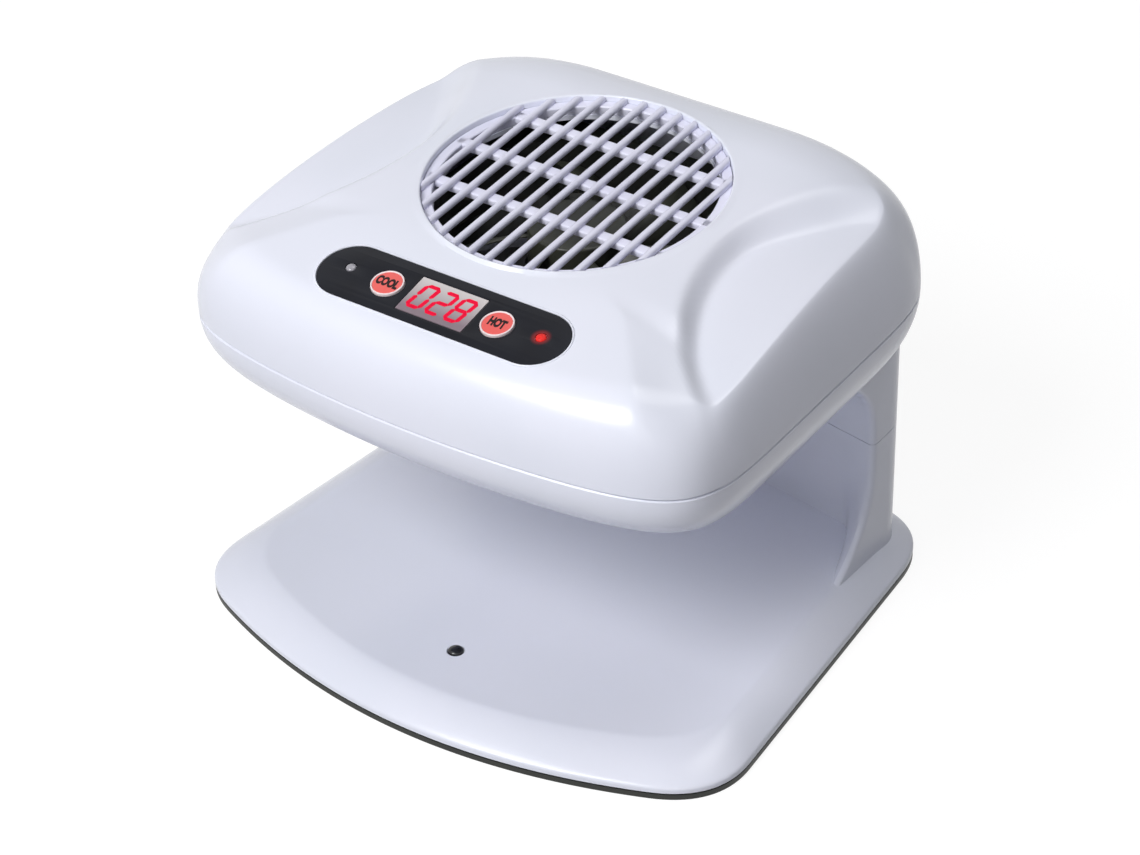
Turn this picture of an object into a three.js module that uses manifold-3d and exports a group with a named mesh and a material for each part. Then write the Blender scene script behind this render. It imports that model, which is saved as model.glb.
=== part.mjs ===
// Nail polish fan dryer: a base plate for the hand, a column at the back, and a head with a fan and a heater.
// Millimetres, +Z up, +X to the right, and the front faces -Y. The origin is under the middle of the base.
import * as THREE from 'three';
import { mergeVertices } from 'three/addons/utils/BufferGeometryUtils.js';
import Module from 'manifold-3d';

const wasm = await Module();
wasm.setup();

// Clearances and cuts
const GAP = 0.3; // between pieces that meet
const OVERRUN = 1; // how far a cut runs past the face that it opens

// Base shell, seen from above: a bowed front, straight tapered sides and a slightly bowed back
const BASE_WIDTH = 257;
const BASE_DEPTH = 231;
const BASE_FRONT_BOW = 32.9;
const BASE_BACK_BOW = 6;
const BASE_SIDE_TAPER = 17; // how much nearer the middle each side is at the back
const BASE_FRONT_CORNER = 25; // reach of the rounded corner along each side
const BASE_BACK_CORNER = 34;
const BASE_TOP = 14;
const BASE_RIM_HEIGHT = 2.6; // upright band under the bevel
const BASE_BEVEL = 15.5; // width of the sloping border
const BASE_BEVEL_CROWN = 1.2; // how far the border bows up between its edges
const BASE_WALL = 2.4;

// Bottom plate and feet
const FOOT_PROUD = 0.6;
const FOOT_RADIUS = 7;
const FOOT_RECESS = 1;
const PLATE_THICKNESS = 2.2;
const PLATE_INSET = 0.4;
const PLATE_BOSS_RADIUS = 3.6;
const FOOT_PLACE_SHARES = [[0.82, -0.6], [0.74, 0.74]];
const PLATE_SCREW_PLACE_SHARES = [[0.68, -0.66], [0.56, 0.5]];

// Column, whose places are measured forward from the rearmost point of the base
const COLUMN_HALF_WIDTH = 104;
const COLUMN_BACK = 10; // from the back of the base to the middle of the column's back
const COLUMN_BACK_BOW = 13;
const COLUMN_CORNER = 13;
const COLUMN_INNER = 27.3; // to the inner wall, at the base
const COLUMN_INNER_BOW = 13.5;
const COLUMN_LEAN = 0.168; // forward lean of the inner wall, a slope
const COLUMN_EDGE = 49; // to the front edge of the side wings
const WING_WIDTH = 20; // over which the inner wall swings out to the wing's edge
const WING_FOOT_SWEEP = 26; // how far the wing runs forward on the base
const WING_FOOT_RISE = 50;
const WING_HEAD_SWEEP = 24.5; // how far the wing runs forward under the head
const WING_HEAD_DROP = 40;
const WING_FOOT_CURVE = 3; // exponents of the wing's sweep at its two ends
const WING_HEAD_CURVE = 2.75;
const COLUMN_SPLIT = 68.5; // height of the line where the two mouldings meet
const COLUMN_WALL = 2.4;
const COLUMN_WALL_SLANT = 1.7; // how much thicker the swept walls are, measured along Y
const COLUMN_STEPS = 5; // levels that a length of column is drawn in
const COLUMN_BOSS_X = 76;
const COLUMN_BOSS_RADIUS = 4;
const COLUMN_SHELF = 3;
const COLUMN_SHELF_DROP = 5;
const COLUMN_SHELF_WIDTH = 24;
const COLUMN_ARCH_SHARE = 0.3; // of the wing's sweep, that the middle of the inner wall follows
const COLUMN_TOP_SHARE = 0.5; // how far the column runs up into the lower cover

// Head, seen from above
const HEAD_WIDTH = 246;
const HEAD_DEPTH = 213;
const HEAD_FRONT_BOW = 14;
const HEAD_BACK_TAPER = 5; // how much nearer the middle each side is at the back
const HEAD_BACK_OVERHANG = 1; // behind the base
const HEAD_FRONT_SQUARENESS = 9; // exponents of the outline at its two ends
const HEAD_BACK_SQUARENESS = 3.9;
const HEAD_CROWN = 48.2; // from the seam up to the middle of the grille
const HEAD_BOWL = 27.5; // from the seam down to the underside
const HEAD_SIDE_TUCK = 18; // how far the lower cover draws in at its sides
const HEAD_END_TUCK = 25; // the same at its front and back
const HEAD_BULGE = 0.8; // how far the upper cover swells above the seam
const HEAD_WALL = 2.4;
const SEAM_LIP = 3;
const SEAM_LIP_WALL = 1.2;
const SEAM_LIP_CLEARANCE = 0.9; // from the lip out to the upper cover

// Top of the head
const SHOULDER_SIDE_SHARE = 0.86; // where the shoulder starts, as a share of the outline
const SHOULDER_FRONT_SHARE = 0.84;
const SHOULDER_BACK_SHARE = 0.72;
const SHOULDER_SIDE_ROUND = 2.4; // exponent of the shoulder's curve
const SHOULDER_FRONT_ROUND = 2.5;
const SHOULDER_BACK_ROUND = 3.3;
const RIDGE_FRONT_SHARE = 0.943; // the same for the ridge beside the scoops
const RIDGE_BACK_SHARE = 0.876;
const RIDGE_ROUND = 1.35;
const RIDGE_SHIFT = 4; // from the middle of the head towards the front
const RIDGE_REACH = 94; // half the length of the ridge
const RIDGE_BLEND = 22;
const SIDE_FALL = 12; // drop of the roof at its sides
const SIDE_FALL_START = 45;
const SIDE_REAR_FALL = 19; // the same drop beside the back
const SIDE_REAR_START = 30;
const SIDE_REAR_BLEND = 40;
const REAR_FALL = 22; // drop of the roof at its back
const REAR_FALL_START = 62;
const CREASE_SOFTNESS = 1.6;
const FACET_HALF_WIDTH = 60; // at the crease behind the panel
const FACET_SPREAD = 0.83; // how fast the facet's sides spread towards the front, a slope
const FACET_BLEND = 14;
const FACET_LIMIT_SHARE = 0.94; // furthest out that its edge goes, as a share of the half width
const FACET_SIDE_FALL = 14;
const FACET_EDGE_POWER = 1.2;

// Scoops in the sides of the head
const SCOOP_X = 148;
const SCOOP_RADIUS = 80.5;
const SCOOP_STRETCH = 1.13; // how much longer than wide
const SCOOP_RIDGE_DROP = 11.8; // from the middle of the grille to where the floor meets the shoulder
const SCOOP_FLOOR_SLOPE = 0.07;
const SCOOP_CREST = 22; // from the middle of the head back to where the floor is highest
const SCOOP_FALL = 8;
const SCOOP_FALL_LENGTH = 90;
const SCOOP_STEP = 8; // width of the step down to the floor, at the front
const SCOOP_REAR_STEP = 16;

// Inlet grille
const GRILLE_TILT = THREE.MathUtils.degToRad(3.87);
const GRILLE_SHIFT = 2.4; // from the middle of the head towards the back
const GRILLE_HEIGHT = 185.2;
const GRILLE_RADIUS = 60;
const GRILLE_DEPTH = 6;
const GRILLE_LEDGE = 4; // width of the ring round the fins
const GRILLE_RECESS = 2.5;
const GRILLE_FINS = 13;
const GRILLE_FIN_PITCH = 8.43;
const GRILLE_FIN_WIDTH = 2.8;
const GRILLE_FIN_DEPTH = 3.2;
const GRILLE_BAR_WIDTH = 5;
const GRILLE_BAR_PITCH = 26;
const GRILLE_BAR_SHIFT = 3.5;
const GRILLE_BAR_RAISE = 0.6;
const GRILLE_SHELF_WIDTH = 4.6;
const GRILLE_SHELF = 2;

// Control panel
const PANEL_TILT = THREE.MathUtils.degToRad(12);
const PANEL_SHIFT = 83.9; // from the middle of the head towards the front
const PANEL_DROP = 10.2; // from the middle of the grille down
const PANEL_LENGTH = 111.6;
const PANEL_WIDTH = 28.3;
const PANEL_THICKNESS = 0.8;
const DISPLAY_LENGTH = 30;
const DISPLAY_WIDTH = 18.4;
const DISPLAY_DEPTH = 8.6;
const WINDOW_THICKNESS = 1;
const BUTTON_RADIUS = 6.55;
const BUTTON_X = 25.2;
const BUTTON_PROUD = 1;
const BUTTON_DOME = 0.5;
const BUTTON_FLANGE = 1.1;
const BUTTON_FLANGE_DROP = 3.9; // from the panel's face down to the flange
const BUTTON_FLANGE_THICKNESS = 1.2;
const BUTTON_STEM_RADIUS = 1.6;
const BUTTON_TRAVEL = 0.8;
const LAMP_RADIUS = 2;
const LAMP_X = 43.6;
const LAMP_SHIFT = 1.5; // towards the back
const LAMP_PROUD = 0.6;
const LAMP_FLANGE = 0.5;
const LAMP_FLANGE_HEIGHT = 1;
const BOARD_DEPTH = 11; // from the panel's face down to the control board
const BOARD_THICKNESS = 1.6;
const BOARD_LENGTH = 104;
const BOARD_WIDTH = 24;
const BOARD_BOSS_RADIUS = 3;
const BOARD_BOSS_X = 36.6;
const BOARD_BOSS_SHIFT = 7;
const SWITCH_SIDE = 6;
const SWITCH_HEIGHT = 3.4;
const SWITCH_PLUNGER_RADIUS = 1.7;
const SWITCH_PLUNGER = 0.8;

// Fan
const FAN_SIDE = 120;
const FAN_HEIGHT = 25;
const FAN_DROP = 15.2; // from the middle of the grille to the top of the frame
const FAN_BORE_RADIUS = 58.4;
const FAN_BARREL_WALL = 1.3;
const FAN_FLANGE = 3.6;
const FAN_CORNER = 8;
const FAN_SCREW_SPACING = 105;
const FAN_POST_RADIUS = 4;
const FAN_SEAT_RADIUS = 21;
const FAN_SEAT = 3; // thickness of the seat and its struts
const FAN_STRUT_WIDTH = 5;
const FAN_SLEEVE_RADIUS = 4.5;
const FAN_SHAFT_RADIUS = 1.5;
const ROTOR_RADIUS = 56;
const HUB_RADIUS = 19.5;
const HUB_WALL = 1.6;
const HUB_HEIGHT = 17;
const HUB_ROUND = 1.5;
const BLADES = 7;
const BLADE_THICKNESS = 1.8;
const BLADE_HEIGHT_SHARE = 0.78; // of the hub's height
const BLADE_ROOT_PITCH = THREE.MathUtils.degToRad(48);
const BLADE_TIP_PITCH = THREE.MathUtils.degToRad(27);
const BLADE_SWEEP = THREE.MathUtils.degToRad(22);
const BLADE_CAMBER = 2.2;
const STATOR_RADIUS = 15.5;
const STATOR_HEIGHT = 9;
const STATOR_SLOTS = 4;
const STATOR_SLOT_WIDTH = 4;
const STATOR_CORE_RADIUS = 9;

// Air path below the fan
const OUTLET_RADIUS = 50;
const OUTLET_RING = 3;
const OUTLET_FLANGE = 3.5;
const OUTLET_FLANGE_THICKNESS = 1.5;
const OUTLET_BARS = 9;
const OUTLET_BAR_PITCH = 9.6;
const OUTLET_BAR_WIDTH = 2.6;
const OUTLET_CROSS_WIDTH = 4;
const DUCT_WALL = 1.5;
const DUCT_FLARE = 9; // height of the flare under the fan
const HEATER_PLATE = 1;
const HEATER_HEIGHT = 17;
const HEATER_RAISE = 1.2;
const COIL_RADIUS = 35;
const COIL_WIRE = 2.2;
const COIL_TURNS = 2;
const COIL_PITCH = 7;
const COIL_SIDES = 5; // of the wire's section
const COIL_STEPS = 20; // in each turn
const THERMOSTAT_RADIUS = 6.5;
const THERMOSTAT_HEIGHT = 5;

// Supply board on the left of the fan
const SUPPLY_INSET = 35; // from the side of the head to the middle of the board
const SUPPLY_SHIFT = 16; // from the middle of the head towards the front
const SUPPLY_LENGTH = 84;
const SUPPLY_WIDTH = 36;
const SUPPLY_RAISE = 7;
const SUPPLY_POST_RADIUS = 3;
const SUPPLY_POST_SHARE = 0.86; // of the half length
const TRANSFORMER_SIZE = [30, 34, 24];
const RELAY_SIZE = [15, 19, 15];
const TRANSFORMER_CORE_SHARE = 0.66;
const TRANSFORMER_BOBBIN_SHARE = 0.7;
const CAPACITOR_RADIUS = 6;
const CAPACITOR_HEIGHT = 18;
const FUSE_RADIUS = 2.6;
const FUSE_LENGTH = 20;
const TRANSFORMER_BOBBIN_EDGE_SHARE = 1 / 8;
const TRANSFORMER_PLACE_SHARES = [0, 0.3];
const RELAY_PLACE_SHARES = [-0.4, -0.42];
const CAPACITOR_PLACE_SHARES = [0.5, -0.32];
const FUSE_PLACE_SHARES = [0.55, -0.74];

// Base sensor and cord gland
const SENSOR_INSET = 39.1; // from the front of the base
const SENSOR_RADIUS = 3.1;
const SENSOR_PROUD = 1.4;
const SENSOR_FLANGE = 1.4;
const SENSOR_FLANGE_THICKNESS = 1.2;
const SENSOR_BOARD_SIDE = 18;
const SENSOR_BOARD_THICKNESS = 1.2;
const SENSOR_PEG_RADIUS = 1.5;
const GLAND_HEIGHT = 30;
const GLAND_RADIUS = 5;
const GLAND_FLANGE_RADIUS = 8;
const GLAND_FLANGE = 2;
const GLAND_NOSE = 6;
const GLAND_BORE = 3;
const GLAND_TAPER = 1.2;

// Screws
const SCREW_RADIUS = 1.4;
const SCREW_HEAD_RADIUS = 2.8;
const SCREW_HEAD = 1.8;
const SCREW_CROWN_SHARE = 0.8; // width of the head's flat top
const PLATE_SCREW_HEAD = 1.2;
const PLATE_SCREW_LENGTH = 6;
const LONG_SCREW_LENGTH = 12;
const SHORT_SCREW_LENGTH = 5;
const HEAD_SCREW_SEAT = 4; // from the underside up to the screw's seat
const HEAD_BOSS_RADIUS = 4.5;
const HEAD_BOSS_PLACE_SHARES = [[0.77, -0.7], [0.7, 0.36]];

// How finely curves are cut
const HEAD_STEPS = 48;
const ROUND_STEPS = 28;
const MEDIUM_STEPS = 12;
const SMALL_STEPS = 8;
const SCREW_STEPS = 6;
const ARC_STEPS = 3; // per quarter turn, where a flat outline has rounded ends
const FLANGE_ARC_STEPS = 2;
const FRONT_BOW_STEPS = 6; // on each half of the base's front
const CORNER_STEPS = 5;
const BACK_BOW_STEPS = 3;
const COLUMN_CORNER_STEPS = 3;

// Places that follow from the sizes above
const BACK = BASE_DEPTH / 2;
const HEAD_Y = BACK + HEAD_BACK_OVERHANG - HEAD_DEPTH / 2;
const HEAD_SEAM = GRILLE_HEIGHT - HEAD_CROWN;
const HEAD_UNDERSIDE = HEAD_SEAM - HEAD_BOWL;
const GRILLE_Y = HEAD_Y + GRILLE_SHIFT;
const PANEL_Y = HEAD_Y - PANEL_SHIFT;
const PANEL_HEIGHT = GRILLE_HEIGHT - PANEL_DROP;
const SCOOP_RIDGE_HEIGHT = GRILLE_HEIGHT - SCOOP_RIDGE_DROP;
const SUPPLY_X = SUPPLY_INSET - HEAD_WIDTH / 2;
const SUPPLY_Y = HEAD_Y - SUPPLY_SHIFT;
const SENSOR_Y = SENSOR_INSET - BACK;
const PLATE_TOP = FOOT_PROUD + PLATE_THICKNESS;
const SHELL_BOTTOM = PLATE_TOP + GAP;
const BASE_CEILING = BASE_TOP - BASE_WALL;
const HEAD_FLOOR = HEAD_UNDERSIDE + HEAD_WALL;
const FAN_TOP = GRILLE_HEIGHT - FAN_DROP;
const FAN_BOTTOM = FAN_TOP - FAN_HEIGHT;
const GRILLE_SHELF_RADIUS = GRILLE_RADIUS - GRILLE_SHELF_WIDTH;
const GRILLE_SEAT = GRILLE_DEPTH + GAP;
const PILOT_RADIUS = SCREW_RADIUS + GAP;
const SCREW_WELL_RADIUS = SCREW_HEAD_RADIUS + GAP;
const DUCT_BOTTOM = HEAD_FLOOR + 2 * GAP + OUTLET_FLANGE_THICKNESS;
const DUCT_TOP = FAN_BOTTOM - GAP;
const DUCT_RADIUS = OUTLET_RADIUS;
const SWITCH_BASE = -BOARD_DEPTH + GAP;
const SENSOR_FLANGE_TOP = BASE_CEILING - GAP;
const SENSOR_BOARD_TOP = SENSOR_FLANGE_TOP - SENSOR_FLANGE_THICKNESS - GAP;
const SENSOR_PEG_X = SENSOR_BOARD_SIDE / 2 - SENSOR_PEG_RADIUS;
const FAN_SLEEVE_TOP = FAN_SEAT + HUB_HEIGHT - HUB_WALL - GAP;

// Materials
const finish = (color, roughness, metalness = 0) =>
  new THREE.MeshStandardMaterial({ color, roughness, metalness, flatShading: true });
const whitePlastic = finish(0xe4e6f0, 0.28);
const blackPlastic = finish(0x23241f, 0.5);
const labelBlack = finish(0x121317, 0.2);
const coral = finish(0xef6a63, 0.35);
const silverFace = finish(0xb9b9bd, 0.3);
const redLamp = finish(0xd4322c, 0.2);
const clearLamp = finish(0x8c8d94, 0.2);
const blackLens = finish(0x0b0c0e, 0.08);
const boardGreen = finish(0x2c5b3a, 0.5);
const switchBlack = finish(0x1d1d1f, 0.5);
const steel = finish(0xb4b6b8, 0.35, 1);
const copper = finish(0xb06a3c, 0.4, 1);
const heaterWire = finish(0x8d8782, 0.4, 1);
const mica = finish(0xb9ad94, 0.6);
const rubber = finish(0x2a2a2a, 0.8);
const laminate = finish(0x565a60, 0.4, 1);
const relayCase = finish(0x2c4b86, 0.5);

// Helpers: solids from geometries, cuts, and closed skins
const { max, min, abs, sin, cos, tan, sqrt, PI, hypot } = Math;
const power = (base, exponent) => max(0, base) ** exponent;
const smooth = (t) => THREE.MathUtils.smoothstep(t, 0, 1);
const mix = THREE.MathUtils.lerp;

function toSolid(geometry) {
  const bare = geometry.clone();
  bare.deleteAttribute('normal');
  bare.deleteAttribute('uv');
  const merged = mergeVertices(bare);
  const vertProperties = new Float32Array(merged.attributes.position.array);
  const triVerts = new Uint32Array(merged.index.array);
  return new wasm.Manifold(new wasm.Mesh({ numProp: 3, vertProperties, triVerts }));
}

function toGeometry(solid) {
  const { numProp, vertProperties, triVerts } = solid.getMesh();
  const geometry = new THREE.BufferGeometry();
  const places = new THREE.InterleavedBuffer(new Float32Array(vertProperties), numProp);
  geometry.setAttribute('position', new THREE.InterleavedBufferAttribute(places, 3, 0));
  geometry.setIndex(new THREE.BufferAttribute(new Uint32Array(triVerts), 1));
  return geometry;
}

const moved = (solid, x, y, z) => solid.translate([x, y, z]);
const turned = (solid, matrix) => solid.transform(matrix.elements);
const union = (solids) => solids.reduce((sum, solid) => sum.add(solid));

function block(width, depth, low, high) {
  return moved(toSolid(new THREE.BoxGeometry(width, depth, high - low)), 0, 0, (low + high) / 2);
}

function rod(radius, low, high, steps = ROUND_STEPS) {
  const geometry = new THREE.CylinderGeometry(radius, radius, high - low, steps);
  geometry.rotateX(PI / 2);
  return moved(toSolid(geometry), 0, 0, (low + high) / 2);
}

// A solid of revolution about Z from [radius, height] pairs
function revolved(profile, steps = ROUND_STEPS) {
  const points = profile.map(([radius, height]) => new THREE.Vector2(radius, height));
  const geometry = new THREE.LatheGeometry(points, steps);
  geometry.rotateX(PI / 2);
  return toSolid(geometry);
}

function ringProfile(inner, outer, low, high) {
  return [[inner, low], [outer, low], [outer, high], [inner, high], [inner, low]];
}

function extruded(shape, low, high, curveSegments = ARC_STEPS) {
  const options = { depth: high - low, bevelEnabled: false, curveSegments };
  return moved(toSolid(new THREE.ExtrudeGeometry(shape, options)), 0, 0, low);
}

// The same solid at each of several places in the plane
const atPlaces = (solid, places) => union(places.map(([x, y]) => moved(solid, x, y, 0)));

function fromFaces(rings, faces) {
  const vertProperties = new Float32Array(rings.flat(2));
  const triVerts = new Uint32Array(faces);
  return new wasm.Manifold(new wasm.Mesh({ numProp: 3, vertProperties, triVerts }));
}

// A closed skin through rings of equal length: capped at both ends, or joined end to start
function skin(rings, joined = false) {
  const count = rings[0].length;
  const faces = [];
  const bands = joined ? rings.length : rings.length - 1;
  for (let band = 0; band < bands; band += 1) {
    const low = band * count;
    const high = ((band + 1) % rings.length) * count;
    for (let step = 0; step < count; step += 1) {
      const next = (step + 1) % count;
      faces.push(low + step, low + next, high + next);
      faces.push(low + step, high + next, high + step);
    }
  }
  if (!joined) {
    const cap = THREE.ShapeUtils.triangulateShape(rings[0].map(([x, y]) => new THREE.Vector2(x, y)), []);
    const last = (rings.length - 1) * count;
    cap.forEach(([a, b, c]) => faces.push(c, b, a));
    cap.forEach(([a, b, c]) => faces.push(last + a, last + b, last + c));
  }
  return fromFaces(rings, faces);
}

// Half an outline from front middle to back middle, with its mirror image added
function mirrored(half) {
  const other = half.slice(1, -1).reverse().map(([x, y]) => [-x, y]);
  return [...half, ...other];
}

// Points after the start of a curve that is tangent, at its ends, to the lines through its control
function curvePoints(start, control, end, steps) {
  const places = [start, control, end].map((place) => new THREE.Vector2(...place));
  const curve = new THREE.QuadraticBezierCurve(...places);
  return curve.getPoints(steps).slice(1).map((place) => place.toArray());
}

const atHeight = (outline, z) => outline.map(([x, y]) => [x, y, z]);

// Base: outline drawn in by an inset
function baseOutline(inset) {
  const front = inset - BASE_DEPTH / 2;
  const back = BASE_DEPTH / 2 - inset;
  const half = BASE_WIDTH / 2 - inset;
  const frontLine = front + BASE_FRONT_BOW;
  const backLine = back - BASE_BACK_BOW;
  const taper = BASE_SIDE_TAPER / (backLine - frontLine);
  const sideAt = (y) => half - taper * (y - frontLine);
  const bendStart = half - BASE_FRONT_CORNER;
  const bendY = front + BASE_FRONT_BOW * (bendStart / half) ** 2;
  const bendSlope = (2 * BASE_FRONT_BOW * bendStart) / half ** 2;
  const cornerX = (half - taper * (bendY - bendSlope * bendStart - frontLine)) / (1 + taper * bendSlope);
  const cornerY = bendY + bendSlope * (cornerX - bendStart);
  const sideStart = cornerY + BASE_FRONT_CORNER;
  const sideEnd = backLine - BASE_BACK_CORNER;
  const backCorner = sideAt(backLine);
  const backBend = backCorner - BASE_BACK_CORNER;
  const start = [0, front];
  const bend = [bendStart, bendY];
  const rear = [backBend, backLine];
  return mirrored([
    start,
    ...curvePoints(start, [bendStart / 2, front], bend, FRONT_BOW_STEPS),
    ...curvePoints(bend, [cornerX, cornerY], [sideAt(sideStart), sideStart], CORNER_STEPS),
    [sideAt(sideEnd), sideEnd],
    ...curvePoints([sideAt(sideEnd), sideEnd], [backCorner, backLine], rear, CORNER_STEPS),
    ...curvePoints(rear, [backBend / 2, back], [0, back], BACK_BOW_STEPS),
  ]);
}

// Column: where its walls are at a height
const crownDrop = (height) => min(height, HEAD_UNDERSIDE) - (HEAD_UNDERSIDE - WING_HEAD_DROP);
const headSweep = (height) => WING_HEAD_SWEEP * power(crownDrop(height) / WING_HEAD_DROP, WING_HEAD_CURVE);
const footRise = (height) => (height - BASE_TOP) / WING_FOOT_RISE;
const footSweep = (height) => WING_FOOT_SWEEP * power(1 - footRise(height), WING_FOOT_CURVE);
const edgeY = (height) => BACK - COLUMN_EDGE - footSweep(height) - headSweep(height);

function innerWallY(x, height) {
  const bow = COLUMN_INNER_BOW * (x / COLUMN_HALF_WIDTH) ** 2;
  const lean = COLUMN_LEAN * (height - BASE_TOP) + COLUMN_ARCH_SHARE * headSweep(height);
  return BACK - COLUMN_INNER - bow - lean;
}

function innerY(x, height) {
  const swing = smooth((abs(x) - COLUMN_HALF_WIDTH + WING_WIDTH) / WING_WIDTH);
  const reach = edgeY(height) - innerWallY(COLUMN_HALF_WIDTH, height);
  return innerWallY(x, height) + swing * reach;
}

const columnBackY = (x) => BACK - COLUMN_BACK - COLUMN_BACK_BOW * (x / COLUMN_HALF_WIDTH) ** 2;
const COLUMN_FRONT_SHARES = [0.35, 0.68, 0.82, 0.88, 0.94, 1];

// Plan section of the column at a height, with its walls drawn in
function columnSection(height, wall) {
  const half = COLUMN_HALF_WIDTH - wall;
  const inset = COLUMN_WALL_SLANT * wall;
  const cornerY = columnBackY(COLUMN_HALF_WIDTH) - wall;
  const bend = half - COLUMN_CORNER;
  const front = COLUMN_FRONT_SHARES.map((share) => [share * half, innerY(share * half, height) + inset]);
  const rear = [bend, columnBackY(bend) - wall];
  const points = mirrored([
    [0, innerY(0, height) + inset],
    ...front,
    [half, cornerY - COLUMN_CORNER],
    ...curvePoints([half, cornerY - COLUMN_CORNER], [half, cornerY], rear, COLUMN_CORNER_STEPS),
    [bend / 2, columnBackY(bend / 2) - wall],
    [0, columnBackY(0) - wall],
  ]);
  return atHeight(points, height);
}

function columnBetween(low, high, wall) {
  const rings = [];
  for (let step = 0; step <= COLUMN_STEPS; step += 1) {
    rings.push(columnSection(mix(low, high, step / COLUMN_STEPS), wall));
  }
  return skin(rings);
}

// Places of fasteners and feet in the base, as pairs of mirrored points
function pairsFrom(shares, halfWidth, halfDepth) {
  return shares.flatMap(([across, along]) => [
    [-across * halfWidth, along * halfDepth],
    [across * halfWidth, along * halfDepth],
  ]);
}
const footPlaces = pairsFrom(FOOT_PLACE_SHARES, BASE_WIDTH / 2, BASE_DEPTH / 2);
const plateScrewPlaces = pairsFrom(PLATE_SCREW_PLACE_SHARES, BASE_WIDTH / 2, BASE_DEPTH / 2);
const columnMiddleY = (innerY(COLUMN_BOSS_X, COLUMN_SPLIT) + columnBackY(COLUMN_BOSS_X)) / 2;
const columnBossPlaces = [-COLUMN_BOSS_X, COLUMN_BOSS_X].map((x) => [x, columnMiddleY]);
const SHELF_TOP = COLUMN_SPLIT - COLUMN_SHELF_DROP;

function baseBlank() {
  const rimTop = SHELL_BOTTOM + BASE_RIM_HEIGHT;
  const middle = (rimTop + BASE_TOP) / 2 + BASE_BEVEL_CROWN;
  return skin([
    atHeight(baseOutline(0), SHELL_BOTTOM),
    atHeight(baseOutline(0), rimTop),
    atHeight(baseOutline(BASE_BEVEL / 2), middle),
    atHeight(baseOutline(BASE_BEVEL), BASE_TOP),
  ]);
}

function baseCavity() {
  const rimTop = SHELL_BOTTOM + BASE_RIM_HEIGHT - BASE_WALL / 2;
  return skin([
    atHeight(baseOutline(BASE_WALL), SHELL_BOTTOM - OVERRUN),
    atHeight(baseOutline(BASE_WALL), rimTop),
    atHeight(baseOutline(BASE_BEVEL + BASE_WALL / 2), BASE_CEILING),
  ]);
}

// The shelf, in the hollow column, that takes a screw up into the head
function columnShelf([x, y]) {
  const depth = columnBackY(x) - innerY(x, SHELF_TOP);
  const shelf = moved(block(COLUMN_SHELF_WIDTH, 2 * depth, SHELF_TOP - COLUMN_SHELF, SHELF_TOP), x, y, 0);
  return shelf.intersect(columnBetween(SHELF_TOP - 2 * COLUMN_SHELF, COLUMN_SPLIT, COLUMN_WALL / 2));
}

function makeBaseShell() {
  const column = columnBetween(SHELL_BOTTOM + BASE_RIM_HEIGHT, COLUMN_SPLIT - GAP / 2, 0);
  const hollow = columnBetween(BASE_CEILING - OVERRUN, COLUMN_SPLIT + OVERRUN, COLUMN_WALL);
  const rooted = BASE_CEILING + BASE_WALL / 2;
  const boss = rod(PLATE_BOSS_RADIUS, SHELL_BOTTOM, rooted, SMALL_STEPS);
  const pilot = rod(PILOT_RADIUS, SHELL_BOTTOM - OVERRUN, BASE_CEILING, SCREW_STEPS);
  const shelfHole = rod(PILOT_RADIUS, BASE_CEILING, COLUMN_SPLIT, SCREW_STEPS);
  const peg = rod(SENSOR_PEG_RADIUS, SENSOR_BOARD_TOP + GAP, rooted, SCREW_STEPS);
  const pegPlaces = [-SENSOR_PEG_X, SENSOR_PEG_X].map((x) => [x, SENSOR_Y]);
  const sensorHole = rod(SENSOR_RADIUS + GAP, SHELL_BOTTOM, BASE_TOP + OVERRUN, MEDIUM_STEPS);
  const walls = baseBlank().add(column).subtract(baseCavity()).subtract(hollow);
  const inside = union([
    atPlaces(boss, plateScrewPlaces),
    atPlaces(peg, pegPlaces),
    ...columnBossPlaces.map(columnShelf),
  ]);
  const holes = union([
    atPlaces(pilot, plateScrewPlaces),
    atPlaces(shelfHole, columnBossPlaces),
    moved(sensorHole, 0, SENSOR_Y, 0),
    glandHole(),
  ]);
  return walls.add(inside).subtract(holes);
}

function makeBottomPlate() {
  const outline = baseOutline(PLATE_INSET);
  const plate = skin([atHeight(outline, FOOT_PROUD), atHeight(outline, PLATE_TOP)]);
  const recess = rod(FOOT_RADIUS + GAP, 0, FOOT_PROUD + FOOT_RECESS, MEDIUM_STEPS);
  const well = rod(SCREW_WELL_RADIUS, 0, FOOT_PROUD + PLATE_SCREW_HEAD, SMALL_STEPS);
  const hole = rod(PILOT_RADIUS, 0, PLATE_TOP + OVERRUN, SCREW_STEPS);
  return plate.subtract(atPlaces(recess, footPlaces)).subtract(atPlaces(well.add(hole), plateScrewPlaces));
}

const makeFoot = () => rod(FOOT_RADIUS, 0, FOOT_PROUD + FOOT_RECESS - GAP, MEDIUM_STEPS);

// Screws point up from their seat at z = 0; the head hangs below it
function makeScrew(length, head = SCREW_HEAD) {
  return revolved([
    [0, -head],
    [SCREW_HEAD_RADIUS * SCREW_CROWN_SHARE, -head],
    [SCREW_HEAD_RADIUS, 0],
    [SCREW_RADIUS, 0],
    [SCREW_RADIUS, length - SCREW_RADIUS],
    [0, length],
  ], SCREW_STEPS);
}

// Sensor in the base
function makeSensorLens() {
  const rim = SENSOR_RADIUS + SENSOR_FLANGE;
  const low = SENSOR_FLANGE_TOP - SENSOR_FLANGE_THICKNESS;
  const dome = [];
  for (let step = 0; step < ARC_STEPS; step += 1) {
    const angle = (step / ARC_STEPS) * (PI / 2);
    dome.push([SENSOR_RADIUS * cos(angle), BASE_TOP + SENSOR_PROUD * sin(angle)]);
  }
  const flange = [[0, low], [rim, low], [rim, SENSOR_FLANGE_TOP], [SENSOR_RADIUS, SENSOR_FLANGE_TOP]];
  return revolved([...flange, ...dome, [0, BASE_TOP + SENSOR_PROUD]], MEDIUM_STEPS);
}

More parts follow.
